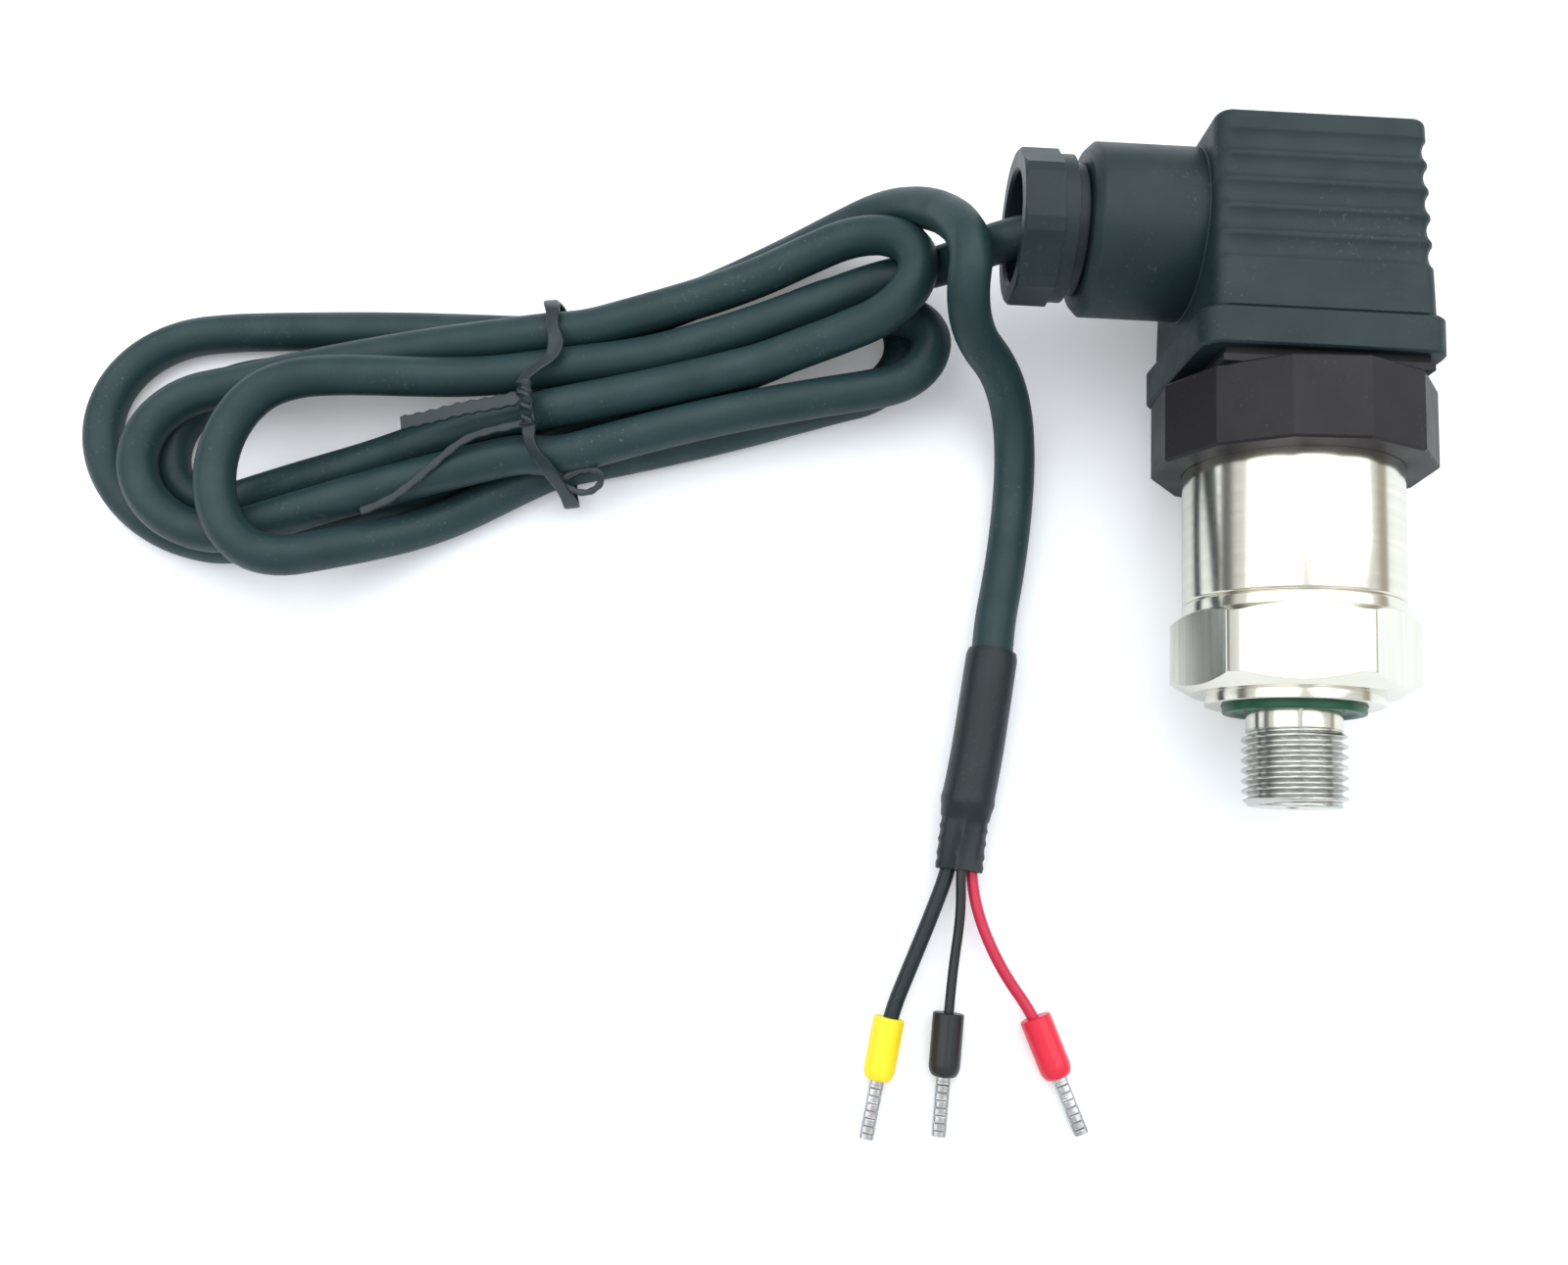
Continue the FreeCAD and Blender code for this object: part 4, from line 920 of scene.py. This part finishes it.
    def barrel(self) -> Array:
        """Barrel with its chamfered rim, bore and way: a profile of (radius, reach) carried round
        the cable's axis, x = -reach, y = r cos a, z = level + r sin a."""
        profile = rounded(np.array([
            [self.barrel_way, self.barrel_root], [self.barrel_radius, self.barrel_root],
            [self.barrel_radius, self.barrel_reach - self.barrel_edge],
            [self.barrel_radius - self.barrel_edge, self.barrel_reach],
            [self.barrel_bore, self.barrel_reach], [self.barrel_bore, self.barrel_seat],
            [self.barrel_way, self.barrel_seat]]), 0.12, 3)
        round_ = turned(profile, 144)
        return np.stack([-round_[..., 2], round_[..., 0], self.barrel_level + round_[..., 1]], axis=-1)

    def build(self, wardrobe: Wardrobe) -> None:
        """Makes body and barrel as one moulding, turned about the instrument's axis."""
        c, s = math.cos(self.turn), math.sin(self.turn)
        turn = np.array([[c, s, 0.0], [-s, c, 0.0], [0.0, 0.0, 1.0]])
        piece = mesh_piece("plug_dressed", LIE.place(self.body() @ turn), wrap_rows=True)
        barrel = mesh_piece("plug_barrel", LIE.place(self.barrel() @ turn), wrap_rows=True)
        whole = bmesh.new()
        whole.from_mesh(piece.data)
        whole.from_mesh(barrel.data)
        whole.to_mesh(piece.data)
        whole.free()
        bpy.data.objects.remove(barrel)
        wardrobe.fit(piece, PLUG, "plug_plastic", "plug_housing")


# ------------------------------------------------------------------ cable

@dataclass(frozen=True)
class Run:
    """One side of a bight: how far it bows to its left (mm), between which shares of its length it
    climbs or falls, and how many points it gets. A share over 1 leaves the rest to the bend."""

    bow: float
    climb: tuple[float, float]
    points: int

    def between(self, start: Array, end: Array) -> Array:
        """Lays the run's points: evenly from start towards end, pushed sideways by the bow times
        sin(pi s), with a height that goes from one to the other by a smooth step.

        Args:
            start: First point, in mm.
            end: The point that the run goes to and leaves out, in mm.

        Returns:
            Points of shape (points, 3).
        """
        s = np.linspace(0.0, 1.0, self.points, endpoint=False)[:, None]
        way = end - start
        side = np.array([-way[1], way[0], 0.0]) / math.hypot(way[0], way[1])
        low, high = self.climb
        share = np.hstack([s, s, smooth((s - low) / (high - low))])
        return start + way * share + self.bow * np.sin(math.pi * s) * side


@dataclass(frozen=True)
class Bight:
    """One loop of the hank, out from the tie, round its far bend and back (mm).

    Attributes are five places, with the height of the cable's middle at each, and the two sides.
    """

    leaves: Triple
    shoulder: Triple
    tip: Triple
    heel: Triple
    returns: Triple
    out: Run
    back: Run
    bend_points: int = 7

    def points(self) -> list[Triple]:
        """Lays the loop: the run out, half an ellipse from shoulder over tip to heel, which is
        middle + cos a (shoulder - middle) + sin a (tip - middle), and the run back."""
        shoulder, tip, heel = np.array([self.shoulder, self.tip, self.heel])
        middle = (shoulder + heel) / 2.0
        angle = np.linspace(0.0, math.pi, self.bend_points)[:, None]
        bend = middle + np.cos(angle) * (shoulder - middle) + np.sin(angle) * (tip - middle)
        out = self.out.between(np.array(self.leaves), shoulder)
        back = self.back.between(np.array(self.returns), heel)[::-1]
        return [tuple(point) for point in np.vstack([out, bend, back]).tolist()]


# Control points of the uncoiled runs, and the hank's bights between them, in the cable's order (mm).
FROM_GLAND = [
    (-6.4, 32.5, 21.7), (-11.4, 32.4, 22.1), (-17.4, 32.4, 22.5), (-23.9, 32.0, 22.0),
    (-30.4, 31.3, 19.6), (-34.2, 31.8, 14.0), (-39.8, 32.2, 9.9), (-47.0, 30.6, 8.8),
    (-56.0, 26.6, 8.7), (-67.5, 22.0, 8.7), (-79.0, 18.2, 8.7)]
BIGHTS = (
    Bight((-90.0, 16.6, 8.7), (-128.0, 11.5, 14.2), (-138.5, -2.5, 14.2), (-128.0, -15.5, 13.8),
          (-97.0, 0.2, 2.9), Run(0.4, (0.25, 0.95), 7), Run(0.6, (0.3, 1.15), 6)),
    Bight((-92.5, 2.6, 2.9), (-51.0, 14.2, 2.9), (-41.0, 23.5, 2.9), (-51.0, 32.2, 2.9),
          (-87.0, 17.6, 2.9), Run(-0.6, (0.0, 1.0), 7), Run(-0.5, (0.0, 1.0), 6)),
    Bight((-93.0, 17.5, 2.9), (-138.0, 16.3, 2.9), (-151.2, 5.5, 2.9), (-142.0, -4.6, 2.9),
          (-97.0, 8.6, 8.6), Run(-0.3, (0.0, 1.0), 8), Run(-1.2, (0.0, 0.6), 8)),
    Bight((-91.0, 9.6, 9.9), (-50.0, 21.0, 12.6), (-39.4, 29.6, 16.8), (-50.0, 36.6, 11.6),
          (-88.0, 22.4, 8.7), Run(-0.6, (0.7, 1.0), 7), Run(-0.6, (0.55, 1.0), 6)),
    Bight((-93.0, 22.0, 8.6), (-140.0, 12.2, 8.7), (-153.5, 0.8, 8.2), (-139.0, -11.0, 8.6),
          (-96.0, 2.8, 8.8), Run(-0.8, (0.0, 1.0), 8), Run(-0.6, (0.0, 1.0), 8)),
    Bight((-90.5, 2.4, 8.7), (-45.0, 14.2, 8.7), (-37.2, 20.6, 9.0), (-43.5, 26.2, 8.2),
          (-84.5, 11.4, 2.9), Run(1.0, (0.0, 1.0), 7), Run(0.2, (0.4, 0.95), 7)),
    Bight((-90.0, 10.4, 2.9), (-141.0, -11.0, 2.9), (-162.5, 7.0, 2.9), (-144.0, 23.4, 2.9),
          (-98.0, 24.0, 2.9), Run(1.8, (0.0, 1.0), 9), Run(-0.5, (0.0, 1.0), 7), bend_points=9),
)
LEAD = [
    (-90.5, 24.4, 2.9), (-80.0, 27.4, 2.9), (-70.0, 32.0, 2.9), (-60.0, 37.2, 3.4),
    (-51.5, 41.2, 5.4), (-45.0, 42.0, 10.2), (-39.6, 39.3, 16.2), (-34.9, 33.9, 22.4),
    (-32.7, 27.0, 27.0), (-33.4, 21.4, 24.4), (-31.9, 18.2, 18.0), (-27.8, 16.2, 12.2),
    (-25.4, 12.0, 7.0), (-24.6, 5.5, 3.6), (-25.0, -3.0, 2.9), (-26.0, -11.5, 2.9),
    (-27.2, -18.4, 3.1), (-27.6, -24.2, 3.5), (-28.2, -30.0, 3.6)]
SLEEVE_ROUTE = [(-27.5, -23.0, 3.6), (-28.6, -31.4, 3.65), (-29.6, -38.8, 3.6),
                (-31.0, -46.2, 3.65), (-31.6, -53.6, 3.6)]


@dataclass
class Cable:
    """The one cable: out of the gland, round the tied hank, and to the sleeve (mm)."""

    radius: float = 2.9
    length: float = 1.14

    def build(self, wardrobe: Wardrobe, carried: Sequence[bpy.types.Object]) -> None:
        """Args:
            wardrobe: The finishes.
            carried: The pieces on the cable: its sleeve and tie; not used.
        """
        route = list(FROM_GLAND)
        for bight in BIGHTS:
            route += bight.points()
        route += LEAD
        cable = spline_curve("cable", route, self.radius, 5)
        wardrobe.fit(cable, JACKET, "cable_jacket", "cable_gland_run", "cable_hank", "cable_lead")


@dataclass
class Sleeve:
    """Heat-shrink sleeve: round over the cable, then drawn in to a lobed neck over the wires (mm).

    The places and lengths of its shoulder, lip and mouth are shares of the sleeve's length.
    """

    radius: float = 3.6
    neck: float = 2.85
    shoulder: float = 0.7
    shoulder_length: float = 0.1
    lip: float = 0.12
    lip_place: float = 0.69
    lip_width: float = 0.02
    flatten: float = 0.35
    lobe: float = 0.5
    lobe_twist: float = 4.0
    crease: float = 0.12
    crease_rate: float = 110.0
    mouth: float = 0.2
    mouth_length: float = 0.004
    columns: int = 48

    def build(self, wardrobe: Wardrobe) -> bpy.types.Object:
        """Sweeps the sleeve. Its radius falls from the cable's to the neck's by a smooth step at
        the shoulder, and three lobes and fine creases grow there.

        Args:
            wardrobe: The finishes.

        Returns:
            The sleeve.
        """
        line = line_of(SLEEVE_ROUTE, 16)
        _, _, _, share = along_line(line)
        angle = np.linspace(0.0, 2 * math.pi, self.columns, endpoint=False)
        step = smooth((share - self.shoulder) / self.shoulder_length)
        lip = self.lip * np.exp(-((share - self.lip_place) / self.lip_width) ** 2)
        radius = self.radius + (self.neck - self.radius) * step + lip
        radius = radius - self.mouth * (share < self.mouth_length)
        crease = self.crease * step * np.sin(self.crease_rate * share)
        wide = (radius + crease)[:, None] + (self.flatten * step)[:, None] * np.cos(2 * angle)[None]
        turn = 3 * angle + self.lobe_twist * share[:, None]
        lobes = (self.lobe * step)[:, None] * np.abs(np.cos(turn))
        high = np.minimum(radius[:, None] - lobes, line[:, 2:] / MM)
        sleeve = mesh_piece("sleeve", swept(line, wide, high, self.columns))
        wardrobe.fit(sleeve, SLEEVE, "sleeve_plastic", "lead_sleeve")
        return sleeve


@dataclass
class WireEnd:
    """One wire with its crimped end sleeve (mm).

    The shoulder starts at a share of the collar's length. The dents lie between two shares of the
    tube's length, and their depth is a share of its radius.
    """

    colour: str
    node: str
    route: tuple[Triple, ...]
    tip: Triple
    radius: float
    finish: Finish
    collar_finish: Finish
    slots: tuple[str, str]
    collar_large: float = 2.1
    collar_small: float = 1.2
    collar_length: float = 8.3
    crimp_radius: float = 0.95
    crimp_length: float = 7.5
    crimp_hidden: float = 0.3
    dents: int = 4
    dent_depth: float = 0.32
    dent_sharpness: float = 1.4
    dented: tuple[float, float] = (0.1, 0.97)
    shoulder: float = 0.8
    mouth: float = 0.15

    def build(self, wardrobe: Wardrobe) -> None:
        wire = spline_curve(f"{self.colour}_wire", self.route, self.radius, 8)
        wardrobe.fit(wire, self.finish, self.slots[0], self.node)
        pieces = [self._collar(wardrobe), self._crimp(wardrobe)]
        line = line_of(self.route)

    def _axis(self) -> tuple[Array, Array]:
        """The collar's starting point, the route's last point but one, and its direction, in mm."""
        start = np.array(self.route[-2], float)
        along = np.array(self.tip, float) - start
        return start, along / np.linalg.norm(along)

    def _laid(self, reach: Array, wide: Array, high: Array, columns: int, power: float) -> Array:
        """Sweeps a section of changing size along the end sleeve's straight axis, and flattens it
        where it would pass through the table."""
        start, along = self._axis()
        line = (start + reach[:, None] * along) * MM
        grid = swept(line, wide, high, columns, power)
        grid[..., 2] = np.maximum(grid[..., 2], TABLE_GAP * MM)
        return grid

    def _collar(self, wardrobe: Wardrobe) -> bpy.types.Object:
        """Moulded collar: straight up to the shoulder, then a quarter oval down to the tube, with
        a broken edge at the mouth."""
        share = np.linspace(0.0, 1.0, 60)
        down = np.clip((share - self.shoulder) / (1.0 - self.shoulder), 0.0, 1.0)
        drop = self.collar_large - self.collar_small
        radius = self.collar_small + drop * np.sqrt(1.0 - down ** 2) - self.mouth * (share < 0.01)
        collar = mesh_piece(f"{self.colour}_collar",
                            self._laid(share * self.collar_length, radius, radius, 48, 2.0))
        wardrobe.fit(collar, self.collar_finish, self.slots[1], f"ferrule_{self.colour}_collar")
        return collar

    def _crimp(self, wardrobe: Wardrobe) -> bpy.types.Object:
        """Crimped tube: a nearly square section of even width, whose height drops to flat dents
        where the tool's teeth pressed."""
        share = np.linspace(0.0, 1.0, 120)
        first, last = self.dented
        wave = np.cos(2 * math.pi * (self.dents * share + first))
        dip = smooth(0.5 - self.dent_sharpness * wave) * (share > first) * (share < last)
        wide = self.crimp_radius * np.ones_like(share)
        high = self.crimp_radius * (1.0 - self.dent_depth * dip)
        reach = self.collar_length + share * self.crimp_length - self.crimp_hidden * (1.0 - share)
        crimp = mesh_piece(f"{self.colour}_crimp",
                           self._laid(reach, wide, high, 32, 3.2))
        wardrobe.fit(crimp, CRIMP, "tinned_copper", f"ferrule_{self.colour}_crimp")
        return crimp


WIRE_ENDS = (
    WireEnd("yellow", "wire_shrunk",
            ((-32.2, -46.0, 3.4), (-32.6, -50.0, 3.5), (-33.0, -53.6, 3.4), (-35.1, -59.6, 3.0),
             (-37.7, -66.4, 2.6), (-40.4, -73.4, 2.4), (-41.2, -78.4, 2.0)),
            (-43.0, -89.4, 1.2), 1.05, SLEEVE, YELLOW_COLLAR, ("sleeve_plastic", "yellow_collar")),
    WireEnd("black", "wire_black",
            ((-30.9, -46.0, 4.4), (-31.0, -50.0, 4.6), (-31.4, -53.6, 4.6), (-31.2, -59.6, 3.6),
             (-32.0, -66.1, 2.7), (-32.5, -72.4, 2.4), (-32.8, -77.6, 2.0)),
            (-33.4, -87.6, 1.2), 0.68, BLACK_WIRE, BLACK_COLLAR, ("black_wire", "black_collar")),
    WireEnd("red", "wire_red",
            ((-29.6, -46.0, 3.4), (-29.6, -50.0, 3.3), (-30.0, -53.6, 3.2), (-28.9, -59.6, 2.9),
             (-25.6, -66.6, 2.6), (-21.1, -72.4, 2.4), (-18.7, -77.6, 2.0)),
            (-14.8, -86.9, 1.2), 0.78, RED_WIRE, RED_COLLAR, ("red_wire", "red_collar")),
)


@dataclass
class TwistTie:
    """Flat strip wound round the hank's waist and twisted on top (mm)."""

    half_width: float = 1.0
    half_thick: float = 0.3
    ripple: float = 0.12
    ripple_rate: float = 60.0
    columns: int = 24
    strip_power: float = 5.0
    knot_power: float = 4.0
    knot_turns: float = 2.0
    loop: tuple[Triple, ...] = (
        (-94.7, 8.8, 13.8), (-95.8, 12.0, 13.7), (-93.9, 14.0, 13.3), (-91.7, 15.8, 13.2),
        (-91.2, 18.4, 13.0), (-92.3, 21.0, 12.8), (-92.4, 24.0, 12.2), (-93.8, 26.8, 9.5),
        (-93.4, 27.8, 4.5), (-92.8, 25.0, 0.8), (-91.4, 12.0, 0.7), (-90.0, 0.0, 0.7),
        (-89.0, -3.6, 2.6), (-89.2, -2.8, 6.5), (-91.2, -0.4, 11.4), (-93.8, 2.6, 13.6),
        (-93.8, 5.6, 14.2), (-94.6, 8.4, 14.5))
    long_tail: tuple[Triple, ...] = (
        (-94.0, 9.4, 14.6), (-98.2, 8.0, 14.9), (-103.7, 6.9, 14.9), (-108.0, 5.6, 14.6),
        (-112.2, 4.9, 14.0))
    thin_tail: tuple[Triple, ...] = (
        (-93.8, 5.5, 14.2), (-97.0, 4.9, 13.6), (-100.6, 4.2, 13.1), (-103.6, 3.0, 12.7),
        (-106.8, 0.2, 12.2), (-111.0, -4.0, 11.9), (-114.0, -6.4, 11.9), (-117.2, -7.8, 12.0))
    ring: tuple[Triple, ...] = (
        (-90.0, -1.0, 7.4), (-88.2, -2.2, 7.0), (-86.0, -2.3, 6.8), (-84.2, -1.0, 7.2),
        (-84.2, 0.6, 8.0), (-86.2, 1.0, 8.6), (-88.2, 0.2, 8.8), (-89.6, -0.8, 8.6))
    thin_half: float = 0.55
    ring_half: float = 0.45
    knot: tuple[Triple, ...] = (
        (-95.2, 11.4, 14.2), (-94.8, 9.6, 15.0), (-94.2, 7.4, 15.0), (-94.0, 5.0, 14.4))
    knot_wide: float = 1.15
    knot_high: float = 0.65
    hank_middle: Triple = (-91.5, 12.0, 6.0)

    def build(self, wardrobe: Wardrobe) -> list[bpy.types.Object]:
        """Makes the strip's round, its two tails, the ring at its foot and the knot.

        Args:
            wardrobe: The finishes.

        Returns:
            The pieces.
        """
        round_ = mesh_piece("tie_round", self._wound())
        pieces = [round_, self._strip("tie_long_tail", self.long_tail, self.half_width),
                  self._strip("tie_thin_tail", self.thin_tail, self.thin_half),
                  self._strip("tie_ring", self.ring, self.ring_half), self._knot()]
        for piece in pieces:
            wardrobe.fit(piece, TIE, "tie_plastic")
        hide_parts("twist_tie")
        return pieces

    def _rippled(self, line: Array, half: float) -> Array:
        """Half width along a strip: it swells and shrinks by the ripple's share in a slow wave."""
        _, _, _, share = along_line(line)
        return half + self.ripple * np.sin(share * self.ripple_rate) * half

    def _strip(self, name: str, points: tuple[Triple, ...], half: float) -> bpy.types.Object:
        """Sweeps a flat strip that lies level along its points."""
        line = line_of(points, 10)
        thick = np.full(len(line), self.half_thick)
        return mesh_piece(name, swept(line, self._rippled(line, half), thick, self.columns,
                                      self.strip_power))

    def _wound(self) -> Array:
        """Strip round the hank: at each place its thin axis points away from the hank's middle,
        square to the line, and its wide axis is the cross product of the two."""
        line = line_of(self.loop, 10)
        tangent, _, _, _ = along_line(line, (1.0, 0.0, 0.0))
        outward = line - np.array(self.hank_middle) * MM
        outward -= (outward * tangent).sum(1, keepdims=True) * tangent
        outward /= np.linalg.norm(outward, axis=1, keepdims=True)
        across = np.cross(tangent, outward)
        c, s = section(self.columns, self.strip_power)
        wide = (self._rippled(line, self.half_width) * MM)[:, None, None] * c[None, :, None]
        return capped(line, line[:, None] + wide * across[:, None]
                      + self.half_thick * MM * s[None, :, None] * outward[:, None])

    def _knot(self) -> bpy.types.Object:
        """Twisted pair: a stubby line whose flat section turns round along it."""
        line = line_of(self.knot, 16)
        _, side, second, share = along_line(line)
        turn = self.knot_turns * 2 * math.pi * share[:, None]
        c, s = section(self.columns, self.knot_power)
        wide, high = self.knot_wide * c, self.knot_high * s
        x, y = wide * np.cos(turn) - high * np.sin(turn), wide * np.sin(turn) + high * np.cos(turn)
        return mesh_piece("tie_knot", capped(line, line[:, None]
                                             + (x * MM)[..., None] * side[:, None]
                                             + (y * MM)[..., None] * second[:, None]))


# ------------------------------------------------------------------ carried-over nodes

NODE_FINISHES: dict[Finish, tuple[str, ...]] = {
    STEEL: ("cell_retainer",),
    RUBBER: ("cell_ring", "base_ring", "flat_gasket", "screw_seal", "gland_seal"),
    CERAMIC: ("sensor_cell",),
    BOARD: ("amplifier_board", "cell_flex"),
    CHIP: ("board_components",),
    BASE: ("connector_base",),
    BRASS: ("base_nut",),
    TINNED: ("contact_blade_1", "contact_blade_2", "contact_blade_3", "earth_blade", "terminal_1",
             "terminal_2", "terminal_3", "terminal_4"),
    PLUG: ("contact_insert", "gland_washer"),
    NUT: ("gland_nut",),
    SCREW: ("terminal_screws", "fixing_screw"),
}


# ------------------------------------------------------------------ studio

@dataclass
class Studio:
    """Pale table, bright room with two soft lamps, and the camera (metres, watts).

    The camera has an eye point and its right, up and back directions. A lamp has a name, a place,
    a size and a power. The room's colour goes from two floor colours, left and right, to the
    ceiling's between two heights of the direction that is looked in.
    """

    eye: Triple = (-0.044403, -0.069530, 0.200707)
    right: Triple = (0.99748, 0.04858, -0.05177)
    up: Triple = (-0.03479, 0.97013, 0.24006)
    back: Triple = (0.06189, -0.23766, 0.96938)
    lens: float = 32.80
    aim: Triple = (-0.05, 0.0, 0.0)
    lamps: tuple[tuple[str, Triple, float, float], ...] = (
        ("high_right", (0.38, 0.34, 0.80), 1.2, 5.6), ("high_left", (-0.50, 0.15, 0.80), 1.0, 3.4))
    table_half: float = 1.6
    table_glow: float = 0.16
    floor_left: tuple[float, ...] = (0.17, 0.17, 0.18, 1.0)
    floor_right: tuple[float, ...] = (0.50, 0.46, 0.38, 1.0)
    ceiling: tuple[float, ...] = (0.93, 0.95, 0.97, 1.0)
    ceiling_from: float = 0.14
    ceiling_to: float = 0.30
    room_strength: float = 0.9

    def build(self) -> None:
        """Makes the table, the lamps, the world and the camera."""
        self._table()
        for lamp in self.lamps:
            self._lamp(*lamp)
        self._world()
        self._camera()

    def _table(self) -> None:
        """White table top: a flat grid, a trifle brighter to the eye than its light makes it."""
        edge = np.linspace(-self.table_half, self.table_half, 9)
        across, along = np.meshgrid(edge, edge)
        table = mesh_piece("table", np.stack([across, along, 0.0 * across], axis=-1),
                           wrap_columns=False)
        if table.data.polygons[0].normal.z < 0:
            table.data.flip_normals()
        material = bpy.data.materials.new("table_white")
        canvas = blank(material)
        tone = canvas.noise(canvas.node("TexCoord").outputs["Object"], 6.0, 2.0)
        colour = canvas.blend(tone, linear(245, 249, 253), linear(241, 246, 251))
        seen = canvas.node("LightPath").outputs["Is Camera Ray"]
        shader = canvas.node("BsdfPrincipled", {
            "Base Color": colour, "Roughness": 0.6, "Specular IOR Level": 0.2,
            "Emission Color": (1, 1, 1, 1), "Emission Strength": canvas.product(seen, self.table_glow)})
        canvas.node("OutputMaterial", {"Surface": shader.outputs[0]})
        table.data.materials.append(material)

    def _lamp(self, name: str, place: Triple, size: float, power: float) -> None:
        """Adds a square soft lamp that looks at the object's middle."""
        lamp = bpy.data.lights.new(name, "AREA")
        lamp.shape = "SQUARE"
        lamp.size = size
        lamp.energy = power
        holder = bpy.data.objects.new(name, lamp)
        aim = Vector(self.aim) - Vector(place)
        holder.matrix_world = (Matrix.Translation(Vector(place))
                               @ aim.to_track_quat("-Z", "Y").to_matrix().to_4x4())
        bpy.context.scene.collection.objects.link(holder)

    def _world(self) -> None:
        """Bright room that darkens towards the horizon; white where the camera sees it."""
        world = bpy.data.worlds.new("room")
        bpy.context.scene.world = world
        canvas = blank(world)
        way = canvas.node("SeparateXYZ", {0: canvas.node("TexCoord").outputs["Generated"]}).outputs
        low = canvas.blend(canvas.span(way["X"], 0.0, 1.0, -0.2, 0.8), self.floor_left,
                           self.floor_right)
        lifted = canvas.node("MapRange", {"Value": way["Z"], "From Min": self.ceiling_from,
                                          "From Max": self.ceiling_to},
                             interpolation_type="SMOOTHSTEP")
        room = canvas.blend(lifted.outputs["Result"], low, self.ceiling)
        seen = canvas.node("LightPath").outputs["Is Camera Ray"]
        colour = canvas.blend(seen, room, (1.0, 1.0, 1.0, 1.0))
        sky = canvas.node("Background", {"Color": colour, "Strength": self.room_strength})
        canvas.node("OutputWorld", {"Surface": sky.outputs[0]})

    def _camera(self) -> None:
        """Places the camera by its eye point and its three directions."""
        data = bpy.data.cameras.new("eye")
        data.lens = self.lens
        data.sensor_width = 36.0
        data.clip_start, data.clip_end = 0.01, 20.0
        camera = bpy.data.objects.new("eye", data)
        turn = Matrix((self.right, self.up, self.back)).transposed().to_4x4()
        camera.matrix_world = Matrix.Translation(Vector(self.eye)) @ turn
        bpy.context.scene.collection.objects.link(camera)
        bpy.context.scene.camera = camera


def main() -> None:
    """Builds every sub-assembly in order."""
    logging.basicConfig(level=logging.INFO, format="%(name)s: %(message)s")
    bpy.context.scene.view_settings.view_transform = "Standard"
    wardrobe = Wardrobe()
    Studio().build()
    for finish, names in NODE_FINISHES.items():
        for name in names:
            wardrobe.dress(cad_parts[name], finish)
    ProcessFitting().build(wardrobe)
    Housing().build(wardrobe)
    SealRing().build(wardrobe)
    Plug().build(wardrobe)
    sleeve = Sleeve().build(wardrobe)
    Cable().build(wardrobe, [sleeve, *TwistTie().build(wardrobe)])
    for wire_end in WIRE_ENDS:
        wire_end.build(wardrobe)


if __name__ == "__main__":
    main()
